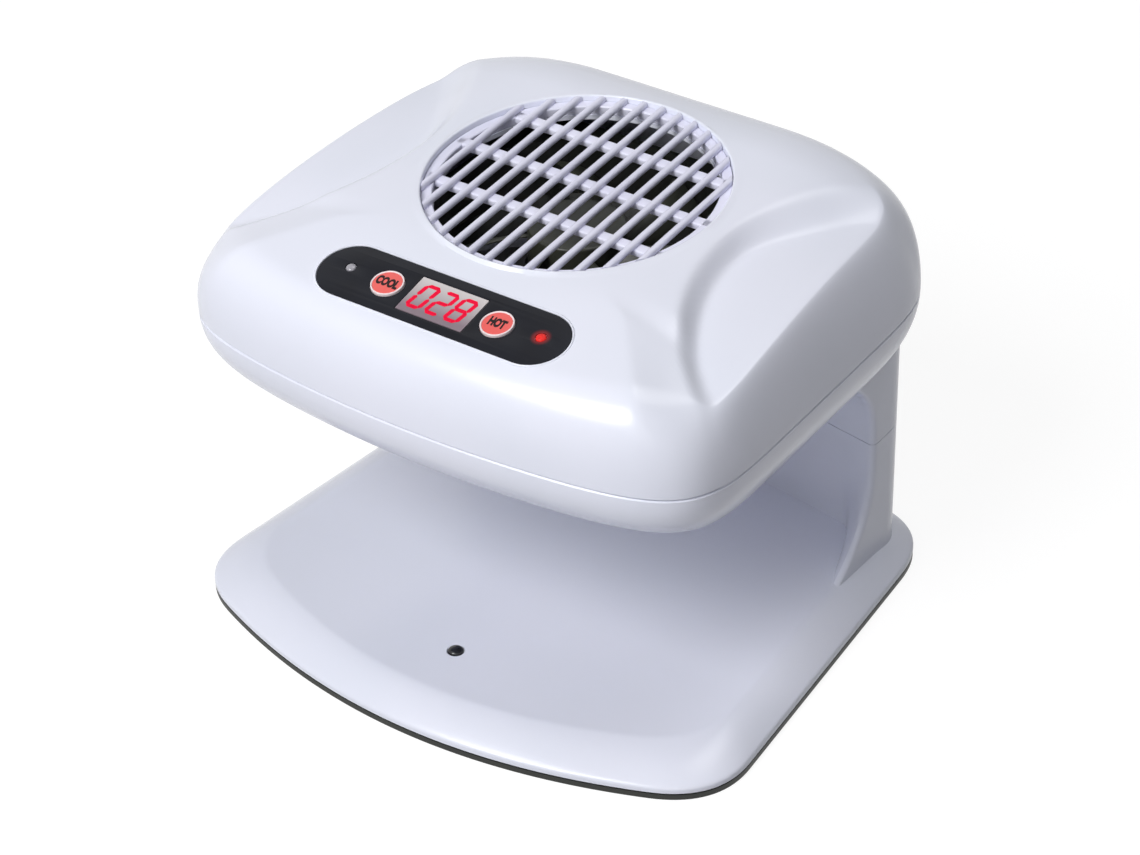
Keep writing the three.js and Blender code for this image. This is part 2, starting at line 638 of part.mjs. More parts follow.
function makeSensorBoard() {
  const low = SENSOR_BOARD_TOP - SENSOR_BOARD_THICKNESS;
  return block(SENSOR_BOARD_SIDE, SENSOR_BOARD_SIDE / 2, low, SENSOR_BOARD_TOP);
}

// Cord gland in the back of the column, along -Y from its flange
function alongBack(solid) {
  return moved(turned(solid, new THREE.Matrix4().makeRotationX(-PI / 2)), 0, columnBackY(0), GLAND_HEIGHT);
}
const glandHole = () => alongBack(rod(GLAND_RADIUS + GAP, -2 * COLUMN_WALL, OVERRUN, MEDIUM_STEPS));

function makeGland() {
  const nose = GLAND_FLANGE + GLAND_NOSE + GAP;
  const tip = GLAND_RADIUS - GLAND_TAPER;
  return alongBack(revolved([
    [GLAND_BORE, -COLUMN_WALL - GLAND_FLANGE],
    [GLAND_RADIUS, -COLUMN_WALL - GLAND_FLANGE],
    [GLAND_RADIUS, GAP],
    [GLAND_FLANGE_RADIUS, GAP],
    [GLAND_FLANGE_RADIUS, GLAND_FLANGE + GAP],
    [GLAND_RADIUS, GLAND_FLANGE + GAP],
    [tip, nose],
    [GLAND_BORE, nose],
    [GLAND_BORE, -COLUMN_WALL - GLAND_FLANGE],
  ], MEDIUM_STEPS));
}

// Head outline: a rounded square, bowed at the front and a little narrower at the back
function headPlan(angle, halfWidth, halfDepth) {
  const squareness = mix(HEAD_FRONT_SQUARENESS, HEAD_BACK_SQUARENESS, (1 + sin(angle)) / 2);
  const reach = (abs(cos(angle)) ** squareness + abs(sin(angle)) ** squareness) ** (-1 / squareness);
  const across = reach * cos(angle);
  const along = reach * sin(angle);
  const narrowed = halfWidth - (HEAD_BACK_TAPER * (1 + along)) / 2;
  const bow = HEAD_FRONT_BOW * (1 - across ** 2) * max(0, -along);
  return [across * narrowed, HEAD_Y + along * (halfDepth - HEAD_FRONT_BOW / 2) - bow];
}

function headRing(draw, height) {
  const ring = [];
  for (let step = 0; step < HEAD_STEPS; step += 1) {
    const angle = (2 * PI * (step + 0.5)) / HEAD_STEPS;
    const [x, y] = draw(angle);
    ring.push([x, y, typeof height === 'function' ? height(x, y, angle) : height]);
  }
  return ring;
}

// Frames of the tilted grille and panel
const grilleFrame = new THREE.Matrix4().makeRotationX(GRILLE_TILT).setPosition(0, GRILLE_Y, GRILLE_HEIGHT);
const panelFrame = new THREE.Matrix4().makeRotationX(PANEL_TILT).setPosition(0, PANEL_Y, PANEL_HEIGHT);

const circleAt = (radius) => (angle) => [radius * cos(angle), GRILLE_Y + radius * sin(angle)];

// A circle about the grille's axis, at a depth under its face
function grilleRing(radius, depth) {
  const ring = headRing((angle) => [radius * cos(angle), radius * sin(angle)], -depth);
  return ring.map((place) => new THREE.Vector3(...place).applyMatrix4(grilleFrame).toArray());
}

const roofHeight = (y) => GRILLE_HEIGHT + tan(GRILLE_TILT) * (y - GRILLE_Y);
const facetHeight = (y) => PANEL_HEIGHT + tan(PANEL_TILT) * (y - PANEL_Y);
const HEAD_BACK = HEAD_Y + HEAD_DEPTH / 2;

// Drop of the roof towards its sides; beside the facet round the panel it starts at the facet's edge
function sideFall(x, y) {
  const crease = (GRILLE_HEIGHT - PANEL_HEIGHT + tan(PANEL_TILT) * PANEL_Y - tan(GRILLE_TILT) * GRILLE_Y);
  const creaseY = crease / (tan(PANEL_TILT) - tan(GRILLE_TILT));
  const beside = smooth((creaseY + FACET_BLEND / 2 - y) / FACET_BLEND);
  const edge = min(FACET_HALF_WIDTH + FACET_SPREAD * (creaseY - y), (FACET_LIMIT_SHARE * HEAD_WIDTH) / 2);
  const start = mix(SIDE_FALL_START, edge, beside);
  const out = max(0, abs(x) - start) / (HEAD_WIDTH / 2 - start);
  const rearward = smooth((y - HEAD_Y - SIDE_REAR_START) / SIDE_REAR_BLEND);
  const fall = mix(mix(SIDE_FALL, SIDE_REAR_FALL, rearward), FACET_SIDE_FALL, beside);
  return fall * out ** mix(2, FACET_EDGE_POWER, beside);
}

// How much of the roof gives way to the scoop's floor at a place, from 0 to 1
function scoopShare(x, y) {
  const away = hypot(SCOOP_X - abs(x), (y - HEAD_Y) / SCOOP_STRETCH);
  const rearward = smooth((y - HEAD_Y) / (SCOOP_RADIUS / 2));
  return smooth((SCOOP_RADIUS - away) / mix(SCOOP_STEP, SCOOP_REAR_STEP, rearward));
}

// The scoop's floor is nearly level across, and arched from front to back
function scoopFloor(x, y) {
  const away = (y - HEAD_Y - SCOOP_CREST) / SCOOP_FALL_LENGTH;
  return SCOOP_RIDGE_HEIGHT + SCOOP_FLOOR_SLOPE * (HEAD_WIDTH / 2 - abs(x)) - SCOOP_FALL * away ** 2;
}

// Height of the top before the shoulder rolls over
function crownHeight(x, y) {
  const roof = roofHeight(y);
  const facet = facetHeight(y);
  const rearFall = REAR_FALL * (max(0, y - REAR_FALL_START) / (HEAD_BACK - REAR_FALL_START)) ** 2;
  const creased = (roof + facet - sqrt((roof - facet) ** 2 + CREASE_SOFTNESS ** 2)) / 2;
  const roofline = creased - rearFall - sideFall(x, y);
  return mix(roofline, min(roofline, scoopFloor(x, y)), scoopShare(x, y));
}

// A value on the outline, from the ones at its ends and sides to that of the ridge beside the scoops
function roundOutline(angle, side, front, back, ridge) {
  const plain = mix(side, sin(angle) < 0 ? front : back, sin(angle) ** 2);
  const away = abs(headPlan(angle, HEAD_WIDTH / 2, HEAD_DEPTH / 2)[1] - HEAD_Y + RIDGE_SHIFT);
  return mix(plain, ridge, smooth((RIDGE_REACH - away) / RIDGE_BLEND));
}
const shoulderRound = (angle) =>
  roundOutline(angle, SHOULDER_SIDE_ROUND, SHOULDER_FRONT_ROUND, SHOULDER_BACK_ROUND, RIDGE_ROUND);
function shoulderStart(angle) {
  const ridge = mix(RIDGE_FRONT_SHARE, RIDGE_BACK_SHARE, (1 + sin(angle)) / 2);
  return roundOutline(angle, SHOULDER_SIDE_SHARE, SHOULDER_FRONT_SHARE, SHOULDER_BACK_SHARE, ridge);
}

// The shoulder: a ring at a turn from 0, its start, to 1, the seam
function shoulderRing(turn, wall) {
  const angleAcross = (turn * PI) / 2;
  return headRing((angle) => {
    const share = mix(shoulderStart(angle), 1, power(sin(angleAcross), 2 / shoulderRound(angle)));
    const swell = HEAD_BULGE * sin(2 * angleAcross);
    const width = HEAD_WIDTH / 2 - wall;
    const depth = HEAD_DEPTH / 2 - wall;
    return headPlan(angle, share * width + swell, share * depth + swell);
  }, (x, y, angle) => {
    const rise = turn === 1 ? 0 : power(cos(angleAcross), 2 / shoulderRound(angle));
    return mix(HEAD_SEAM, crownHeight(x, y) - wall, rise);
  });
}

// The roof between the grille's edge and the shoulder
function roofRing(turn, wall) {
  const inner = grilleRing(GRILLE_RADIUS + wall, wall);
  if (turn === 0) return inner;
  const rim = shoulderRing(0, wall);
  return inner.map(([x, y], step) => {
    const across = mix(x, rim[step][0], turn);
    const along = mix(y, rim[step][1], turn);
    return [across, along, crownHeight(across, along) - wall];
  });
}

const SHOULDER_TURN_SHARES = [0.2, 0.37, 0.53, 0.69, 0.85, 1];
const ROOF_TURN_SHARES = [0, 0.25, 0.5, 0.75, 1];
const INNER_SHOULDER_SHARES = [0.2, 0.53, 0.85, 1];
const INNER_ROOF_SHARES = [0, 0.5];

function coverRings(wall, roofShares, shoulderShares) {
  const roof = roofShares.map((turn) => roofRing(turn, wall));
  const shoulder = shoulderShares.map((turn) => shoulderRing(turn, wall));
  return [...roof, ...shoulder];
}

const liftedTo = (ring, z) => ring.map(([x, y]) => [x, y, z]);

const headBossPlaces = HEAD_BOSS_PLACE_SHARES.flatMap(([across, along]) => [-1, 1].map((side) =>
  [side * across * (HEAD_WIDTH / 2), HEAD_Y + along * (HEAD_DEPTH / 2)]));
const HEAD_SCREW_Z = HEAD_UNDERSIDE + HEAD_SCREW_SEAT;
const HEAD_BOSS_FOOT = HEAD_SCREW_Z + HEAD_WALL;

function stadium(length, width) {
  const half = length / 2 - width / 2;
  const shape = new THREE.Shape();
  shape.moveTo(-half, -width / 2);
  shape.lineTo(half, -width / 2);
  shape.absarc(half, 0, width / 2, -PI / 2, PI / 2);
  shape.lineTo(-half, width / 2);
  shape.absarc(-half, 0, width / 2, PI / 2, (3 * PI) / 2);
  return shape;
}

// Openings through the panel for the display, the buttons and the lamps
function panelOpenings(top, bottom) {
  const cuts = [block(DISPLAY_LENGTH + 2 * GAP, DISPLAY_WIDTH + 2 * GAP, bottom, top)];
  for (const side of [-1, 1]) {
    cuts.push(moved(rod(BUTTON_RADIUS + GAP, bottom, top, MEDIUM_STEPS), side * BUTTON_X, 0, 0));
    cuts.push(moved(rod(LAMP_RADIUS + GAP, bottom, top, SMALL_STEPS), side * LAMP_X, LAMP_SHIFT, 0));
  }
  return union(cuts);
}

const boardBossPlaces = [-BOARD_BOSS_X, BOARD_BOSS_X].map((x) => [x, -BOARD_BOSS_SHIFT]);

function makeUpperCover() {
  const outer = coverRings(0, ROOF_TURN_SHARES, SHOULDER_TURN_SHARES);
  const inner = coverRings(HEAD_WALL, INNER_ROOF_SHARES, INNER_SHOULDER_SHARES).reverse();
  outer[outer.length - 1] = liftedTo(outer[outer.length - 1], HEAD_SEAM + GAP / 2);
  inner[0] = liftedTo(inner[0], HEAD_SEAM + GAP / 2);
  const collar = [
    grilleRing(GRILLE_RADIUS + HEAD_WALL, GRILLE_SEAT + GRILLE_SHELF),
    grilleRing(GRILLE_SHELF_RADIUS, GRILLE_SEAT + GRILLE_SHELF),
    grilleRing(GRILLE_SHELF_RADIUS, GRILLE_SEAT),
    grilleRing(GRILLE_RADIUS, GRILLE_SEAT),
  ];
  let cover = skin([...collar, ...outer, ...inner].reverse(), true);
  const crown = skin([liftedTo(outer[outer.length - 1], HEAD_FLOOR), ...outer.slice().reverse()]);
  const boss = rod(HEAD_BOSS_RADIUS, HEAD_BOSS_FOOT, GRILLE_HEIGHT, SMALL_STEPS);
  const pilotTop = HEAD_BOSS_FOOT + LONG_SCREW_LENGTH;
  const pilot = rod(PILOT_RADIUS, HEAD_BOSS_FOOT - OVERRUN, pilotTop, SCREW_STEPS);
  const boardBoss = rod(BOARD_BOSS_RADIUS, GAP - BOARD_DEPTH, -HEAD_WALL / 2, SMALL_STEPS);
  const boardPilot = rod(PILOT_RADIUS, -BOARD_DEPTH, SHORT_SCREW_LENGTH - BOARD_DEPTH, SCREW_STEPS);
  const pocket = extruded(stadium(PANEL_LENGTH, PANEL_WIDTH), -PANEL_THICKNESS - GAP, HEAD_WALL);
  cover = cover.add(atPlaces(boss, headBossPlaces).intersect(crown));
  cover = cover.add(turned(atPlaces(boardBoss, boardBossPlaces), panelFrame));
  cover = cover.subtract(atPlaces(pilot, headBossPlaces));
  const cuts = [atPlaces(boardPilot, boardBossPlaces), pocket, panelOpenings(0, -3 * HEAD_WALL)];
  return cover.subtract(turned(union(cuts), panelFrame));
}

// Lower cover: the bowl under the seam
function bowlRing(turn, wall) {
  const angleDown = (turn * PI) / 2;
  const tuck = 1 - cos(angleDown);
  const width = HEAD_WIDTH / 2 - wall - tuck * HEAD_SIDE_TUCK;
  const depth = HEAD_DEPTH / 2 - wall - tuck * HEAD_END_TUCK;
  const drop = (HEAD_SEAM - HEAD_UNDERSIDE - wall) * sin(angleDown);
  return headRing((angle) => headPlan(angle, width, depth), HEAD_SEAM - GAP / 2 - drop);
}
const BOWL_TURN_SHARES = [0, 0.25, 0.5, 0.75, 1];
const INNER_BOWL_SHARES = [0, 0.4, 0.75, 1];

// A ring of the lip that stands inside the seam
function lipRing(wall, height) {
  return headRing((angle) => headPlan(angle, HEAD_WIDTH / 2 - wall, HEAD_DEPTH / 2 - wall), height);
}

function bowlSkin() {
  const outer = BOWL_TURN_SHARES.map((turn) => bowlRing(turn, 0));
  const inner = INNER_BOWL_SHARES.map((turn) => bowlRing(turn, HEAD_WALL)).reverse();
  const edge = HEAD_SEAM - GAP / 2;
  const lipOut = HEAD_WALL + SEAM_LIP_CLEARANCE;
  const rings = [
    ...outer.slice(0, -1),
    liftedTo(outer[outer.length - 1], HEAD_UNDERSIDE),
    headRing(circleAt(OUTLET_RADIUS), HEAD_UNDERSIDE),
    headRing(circleAt(OUTLET_RADIUS), HEAD_FLOOR),
    liftedTo(inner[0], HEAD_FLOOR),
    ...inner.slice(1, -1),
    lipRing(lipOut + SEAM_LIP_WALL, edge),
    lipRing(lipOut + SEAM_LIP_WALL, HEAD_SEAM + SEAM_LIP),
    lipRing(lipOut, HEAD_SEAM + SEAM_LIP),
    lipRing(lipOut, edge),
  ];
  return skin(rings.reverse(), true);
}

// The space inside the bowl, from its floor up past the seam
function bowlSpace() {
  const rings = INNER_BOWL_SHARES.map((turn) => bowlRing(turn, HEAD_WALL));
  rings[0] = liftedTo(rings[0], HEAD_SEAM + OVERRUN);
  rings[rings.length - 1] = liftedTo(rings[rings.length - 1], HEAD_FLOOR);
  return skin(rings.reverse());
}

// The bowl's outer shape without its opening
function bowlBlank() {
  const rings = BOWL_TURN_SHARES.map((turn) => bowlRing(turn, 0));
  rings[rings.length - 1] = liftedTo(rings[rings.length - 1], HEAD_UNDERSIDE);
  return skin(rings.reverse());
}

const fanScrewPlaces = [-1, 1].flatMap((across) => [-1, 1].map((along) =>
  [(across * FAN_SCREW_SPACING) / 2, GRILLE_Y + (along * FAN_SCREW_SPACING) / 2]));
const supplyReach = (SUPPLY_POST_SHARE * SUPPLY_LENGTH) / 2;
const supplyPlaces = [SUPPLY_Y - supplyReach, SUPPLY_Y + supplyReach].map((y) => [SUPPLY_X, y]);
const SUPPLY_BOARD_BOTTOM = HEAD_FLOOR + SUPPLY_RAISE;

// Posts on the head's floor with pilot holes in their tops
function addPosts(solid, places, radius, top, screwLength) {
  const post = rod(radius, HEAD_FLOOR - HEAD_WALL / 2, top, SMALL_STEPS);
  const pilot = rod(PILOT_RADIUS, top - screwLength - GAP, top + OVERRUN, SCREW_STEPS);
  return solid.add(atPlaces(post, places)).subtract(atPlaces(pilot, places));
}

function makeLowerCover() {
  const columnTop = mix(HEAD_UNDERSIDE, HEAD_SEAM, COLUMN_TOP_SHARE);
  const column = columnBetween(COLUMN_SPLIT + GAP / 2, columnTop, 0).subtract(bowlSpace());
  const hollow = columnBetween(COLUMN_SPLIT - OVERRUN, columnTop - HEAD_WALL, COLUMN_WALL);
  const outlet = rod(OUTLET_RADIUS, HEAD_UNDERSIDE - WING_HEAD_DROP, HEAD_FLOOR + OVERRUN);
  const wellWall = SCREW_WELL_RADIUS + HEAD_WALL;
  const wellBlank = rod(wellWall, HEAD_UNDERSIDE, HEAD_SCREW_Z + HEAD_WALL - GAP, MEDIUM_STEPS);
  const well = rod(SCREW_WELL_RADIUS, HEAD_UNDERSIDE - OVERRUN, HEAD_SCREW_Z, SMALL_STEPS);
  const hole = rod(PILOT_RADIUS, HEAD_UNDERSIDE, HEAD_BOSS_FOOT, SCREW_STEPS);
  let cover = bowlSkin().add(column.subtract(moved(outlet, 0, GRILLE_Y, 0))).subtract(hollow);
  cover = cover.add(atPlaces(wellBlank, headBossPlaces).intersect(bowlBlank()));
  cover = cover.subtract(atPlaces(well.add(hole), headBossPlaces));
  cover = addPosts(cover, fanScrewPlaces, FAN_POST_RADIUS, FAN_BOTTOM - GAP, LONG_SCREW_LENGTH);
  const supplyPostTop = SUPPLY_BOARD_BOTTOM - GAP;
  cover = addPosts(cover, supplyPlaces, SUPPLY_POST_RADIUS, supplyPostTop, SHORT_SCREW_LENGTH);
  return addColumnBosses(cover);
}

// Bosses inside the upper column that the column screws pull down onto the shelves
function addColumnBosses(cover) {
  const bottom = SHELF_TOP + GAP;
  const top = COLUMN_SPLIT + LONG_SCREW_LENGTH;
  const space = columnBetween(COLUMN_SPLIT - COLUMN_SHELF_DROP, top, COLUMN_WALL / 2);
  const boss = rod(COLUMN_BOSS_RADIUS, bottom, top, SMALL_STEPS);
  const rib = block(COLUMN_WALL, 4 * COLUMN_INNER, COLUMN_SPLIT + COLUMN_WALL, top);
  const pilot = rod(PILOT_RADIUS, bottom - OVERRUN, bottom + LONG_SCREW_LENGTH, SCREW_STEPS);
  const ribs = atPlaces(rib, columnBossPlaces).intersect(space);
  const bosses = atPlaces(boss, columnBossPlaces);
  return cover.add(bosses).add(ribs).subtract(atPlaces(pilot, columnBossPlaces));
}

// Inlet grille, drawn level with its face at z = 0
function finProfile() {
  const half = GRILLE_FIN_WIDTH / 2;
  const shape = new THREE.Shape();
  shape.moveTo(-half / 2, -GRILLE_FIN_DEPTH);
  shape.lineTo(half / 2, -GRILLE_FIN_DEPTH);
  shape.lineTo(half, half - GRILLE_FIN_DEPTH);
  shape.lineTo(half, -half);
  shape.lineTo(half / 2, 0);
  shape.lineTo(-half / 2, 0);
  shape.lineTo(-half, -half);
  shape.lineTo(-half, half - GRILLE_FIN_DEPTH);
  return shape;
}

function makeInletGrille() {
  const rim = GRILLE_RADIUS - GAP;
  const long = new THREE.ExtrudeGeometry(finProfile(), { depth: 2 * GRILLE_RADIUS, bevelEnabled: false });
  long.rotateX(PI / 2);
  const fin = moved(toSolid(long), 0, GRILLE_RADIUS, 0);
  const bars = [];
  for (let place = 0; place < GRILLE_FINS; place += 1) {
    bars.push(moved(fin, (place - (GRILLE_FINS - 1) / 2) * GRILLE_FIN_PITCH, 0, 0));
  }
  for (const place of [-1, 0, 1]) {
    const bar = block(2 * GRILLE_RADIUS, GRILLE_BAR_WIDTH, GRILLE_BAR_RAISE - GRILLE_DEPTH, -GRILLE_RECESS);
    bars.push(moved(bar, 0, GRILLE_BAR_SHIFT + place * GRILLE_BAR_PITCH, 0));
  }
  const field = union(bars).intersect(rod(rim, -2 * GRILLE_DEPTH, GRILLE_DEPTH));
  const ring = revolved(ringProfile(rim - GRILLE_LEDGE, rim, -GRILLE_DEPTH, -GRILLE_RECESS));
  return turned(field.add(ring), grilleFrame);
}

// Outlet grille in the underside, over the hand
function makeOutletGrille() {
  const rim = OUTLET_RADIUS - GAP;
  const top = HEAD_FLOOR + GAP + OUTLET_FLANGE_THICKNESS;
  const bars = [block(OUTLET_CROSS_WIDTH, 2 * rim, HEAD_UNDERSIDE, HEAD_FLOOR)];
  for (let place = 0; place < OUTLET_BARS; place += 1) {
    const shift = (place - (OUTLET_BARS - 1) / 2) * OUTLET_BAR_PITCH;
    bars.push(moved(block(2 * rim, OUTLET_BAR_WIDTH, HEAD_UNDERSIDE + GAP, HEAD_FLOOR - GAP), 0, shift, 0));
  }
  const field = union(bars).intersect(rod(rim - OUTLET_RING / 2, HEAD_UNDERSIDE, HEAD_FLOOR));
  const ring = revolved([
    [rim - OUTLET_RING, HEAD_UNDERSIDE],
    [rim, HEAD_UNDERSIDE],
    [rim, HEAD_FLOOR + GAP],
    [rim + OUTLET_FLANGE, HEAD_FLOOR + GAP],
    [rim + OUTLET_FLANGE, top],
    [rim - OUTLET_RING, top],
    [rim - OUTLET_RING, HEAD_UNDERSIDE],
  ]);
  return moved(field.add(ring), 0, GRILLE_Y, 0);
}

function makeDuct() {
  const throat = DUCT_RADIUS + DUCT_WALL;
  const flareStart = DUCT_TOP - DUCT_FLARE;
  return moved(revolved([
    [DUCT_RADIUS, DUCT_BOTTOM],
    [throat, DUCT_BOTTOM],
    [throat, flareStart],
    [FAN_BORE_RADIUS + DUCT_WALL, DUCT_TOP],
    [FAN_BORE_RADIUS, DUCT_TOP],
    [DUCT_RADIUS, flareStart],
    [DUCT_RADIUS, DUCT_BOTTOM],
  ]), 0, GRILLE_Y, 0);
}

// Heater: a wire wound in a helix through a cross of mica plates
class Helix extends THREE.Curve {
  getPoint(t, target = new THREE.Vector3()) {
    const turn = 2 * PI * COIL_TURNS * t;
    const rise = COIL_PITCH * COIL_TURNS * (t - 1 / 2);
    return target.set(COIL_RADIUS * cos(turn), COIL_RADIUS * sin(turn), rise);
  }
}

function coilTube(radius) {
  const rings = [];
  const path = new Helix();
  const steps = COIL_TURNS * COIL_STEPS;
  for (let step = 0; step <= steps; step += 1) {
    const centre = path.getPoint(step / steps);
    const turn = (2 * PI * step) / COIL_STEPS;
    const ring = [];
    for (let side = 0; side < COIL_SIDES; side += 1) {
      const angle = (2 * PI * side) / COIL_SIDES;
      const reach = COIL_RADIUS + radius * cos(angle);
      ring.push([reach * cos(turn), reach * sin(turn), centre.z + radius * sin(angle)]);
    }
    rings.push(ring);
  }
  return fanCappedSkin(rings);
}

// A closed skin through rings that may stand on edge: each end is a fan about its first point
function fanCappedSkin(rings) {
  const count = rings[0].length;
  const faces = [];
  for (let band = 0; band < rings.length - 1; band += 1) {
    for (let side = 0; side < count; side += 1) {
      const next = (side + 1) % count;
      const [a, b] = [band * count + side, band * count + next];
      faces.push(a, b + count, b, a, a + count, b + count);
    }
  }
  const last = (rings.length - 1) * count;
  for (let side = 1; side < count - 1; side += 1) {
    faces.push(0, side, side + 1);
    faces.push(last, last + side + 1, last + side);
  }
  return fromFaces(rings, faces);
}

const HEATER_BOTTOM = HEAD_FLOOR + HEATER_RAISE;
const heaterMiddle = HEATER_BOTTOM + HEATER_HEIGHT / 2;
const makeHeaterCoil = () => moved(coilTube(COIL_WIRE / 2), 0, GRILLE_Y, heaterMiddle);

function makeHeaterFrame() {
  const reach = 2 * (OUTLET_RADIUS - OUTLET_RING - GAP) - HEATER_PLATE;
  const plate = block(reach, HEATER_PLATE, HEATER_BOTTOM, HEATER_BOTTOM + HEATER_HEIGHT);
  const cross = plate.add(plate.rotate([0, 0, 90])).rotate([0, 0, 45]);
  const channel = moved(coilTube(COIL_WIRE / 2 + 2 * GAP), 0, 0, heaterMiddle);
  return moved(cross.subtract(channel), 0, GRILLE_Y, 0);
}

function makeThermostat() {
  const low = HEATER_BOTTOM + HEATER_HEIGHT + GAP;
  return moved(rod(THERMOSTAT_RADIUS, low, low + THERMOSTAT_HEIGHT, MEDIUM_STEPS), 0, GRILLE_Y, 0);
}

// Fan
function roundedSquare(side, corner) {
  const half = side / 2;
  const straight = half - corner;
  const shape = new THREE.Shape();
  shape.moveTo(-straight, -half);
  shape.lineTo(straight, -half);
  shape.absarc(straight, -straight, corner, -PI / 2, 0);
  shape.lineTo(half, straight);
  shape.absarc(straight, straight, corner, 0, PI / 2);
  shape.lineTo(-straight, half);
  shape.absarc(-straight, straight, corner, PI / 2, PI);
  shape.lineTo(-half, -straight);
  shape.absarc(-straight, -straight, corner, PI, (3 * PI) / 2);
  return shape;
}

function makeFanFrame() {
  const flange = extruded(roundedSquare(FAN_SIDE, FAN_CORNER), 0, FAN_FLANGE, FLANGE_ARC_STEPS);
  const barrel = rod(FAN_BORE_RADIUS + FAN_BARREL_WALL, 0, FAN_HEIGHT);
  const bore = rod(FAN_BORE_RADIUS, -OVERRUN, FAN_HEIGHT + OVERRUN);
  const seat = rod(FAN_SEAT_RADIUS, 0, FAN_SEAT, MEDIUM_STEPS);
  const sleeve = rod(FAN_SLEEVE_RADIUS, 0, FAN_SLEEVE_TOP, SMALL_STEPS);
  const strut = block(2 * FAN_BORE_RADIUS + FAN_BARREL_WALL, FAN_STRUT_WIDTH, 0, FAN_SEAT);
  const struts = strut.rotate([0, 0, 45]).add(strut.rotate([0, 0, -45]));
  const shroud = union([flange, moved(flange, 0, 0, FAN_HEIGHT - FAN_FLANGE), barrel]).subtract(bore);
  const frame = union([shroud, seat, sleeve, struts]);
  const hole = rod(PILOT_RADIUS, 0, FAN_HEIGHT, SCREW_STEPS);
  const access = rod(SCREW_WELL_RADIUS, FAN_FLANGE + GAP, FAN_HEIGHT, SMALL_STEPS);
  const shaftHole = rod(FAN_SHAFT_RADIUS + GAP, FAN_SEAT / 2, FAN_HEIGHT, SMALL_STEPS);
  const screwPlaces = fanScrewPlaces.map(([x, y]) => [x, y - GRILLE_Y]);
  const cuts = atPlaces(hole.add(access), screwPlaces).add(shaftHole);
  return moved(frame.subtract(cuts), 0, GRILLE_Y, FAN_BOTTOM);
}

function makeStator() {
  const low = FAN_SEAT + GAP;
  const high = low + STATOR_HEIGHT;
  const slots = [];
  const slotMiddle = STATOR_CORE_RADIUS + STATOR_RADIUS / 2;
  const blank = block(STATOR_RADIUS, STATOR_SLOT_WIDTH, low - OVERRUN, high + OVERRUN);
  const cut = moved(blank, slotMiddle, 0, 0);
  for (let slot = 0; slot < STATOR_SLOTS; slot += 1) {
    slots.push(cut.rotate([0, 0, (360 * slot) / STATOR_SLOTS]));
  }
  const core = revolved(ringProfile(FAN_SLEEVE_RADIUS + GAP, STATOR_RADIUS, low, high), MEDIUM_STEPS);
  return moved(core.subtract(union(slots)), 0, GRILLE_Y, FAN_BOTTOM);
}

// One blade from the hub to its tip: curved sections at steps of radius
const BLADE_SPAN_SHARES = [0, 0.33, 0.67, 1];
const BLADE_CHORD_SHARES = [-0.5, 0, 0.5];

function bladeSolid(start, height) {
  const rings = BLADE_SPAN_SHARES.map((share) => {
    const radius = mix(HUB_RADIUS - HUB_WALL / 2, ROTOR_RADIUS, share);
    const pitch = mix(BLADE_ROOT_PITCH, BLADE_TIP_PITCH, share);
    const chord = (height - BLADE_CAMBER - BLADE_THICKNESS) / sin(pitch);
    const spot = (along, up) => {
      const camber = BLADE_CAMBER * (1 - (2 * along) ** 2);
      const angle = start + share * BLADE_SWEEP + (along * chord * cos(pitch)) / radius;
      return [radius * cos(angle), radius * sin(angle), along * chord * sin(pitch) + camber + up];
    };
    const under = BLADE_CHORD_SHARES.map((along) => spot(along, -BLADE_THICKNESS / 2));
    const over = BLADE_CHORD_SHARES.map((along) => spot(along, BLADE_THICKNESS / 2));
    return [...under, ...over.reverse()];
  });
  return fanCappedSkin(rings.map((ring) => ring.slice().reverse()));
}

function makeRotor() {
  const low = FAN_SEAT + 2 * GAP;
  const high = low + HUB_HEIGHT;
  const inner = HUB_RADIUS - HUB_WALL;
  const hub = revolved([
    [0, FAN_SEAT],
    [FAN_SHAFT_RADIUS, FAN_SEAT],
    [FAN_SHAFT_RADIUS, high - HUB_WALL],
    [inner, high - HUB_WALL],
    [inner, low],
    [HUB_RADIUS, low],
    [HUB_RADIUS, high - HUB_ROUND],
    [HUB_RADIUS - HUB_ROUND, high],
    [0, high],
  ], MEDIUM_STEPS);
  const height = BLADE_HEIGHT_SHARE * HUB_HEIGHT;
  const middle = (low + high - BLADE_CAMBER) / 2;
  const blades = [];
  for (let blade = 0; blade < BLADES; blade += 1) {
    blades.push(moved(bladeSolid((2 * PI * blade) / BLADES, height), 0, 0, middle));
  }
  return moved(hub.add(union(blades)), 0, GRILLE_Y, FAN_BOTTOM);
}

// Pieces of the control panel, drawn with the panel's face at z = 0
function makeLabel() {
  const outline = stadium(PANEL_LENGTH - 2 * GAP, PANEL_WIDTH - 2 * GAP);
  return extruded(outline, -PANEL_THICKNESS, 0).subtract(panelOpenings(OVERRUN, -OVERRUN - PANEL_THICKNESS));
}

const makeWindow = () => block(DISPLAY_LENGTH, DISPLAY_WIDTH, -WINDOW_THICKNESS, 0);

function makeDisplay() {
  const top = -WINDOW_THICKNESS - GAP;
  return block(DISPLAY_LENGTH, DISPLAY_WIDTH, max(top - DISPLAY_DEPTH, GAP - BOARD_DEPTH), top);
}

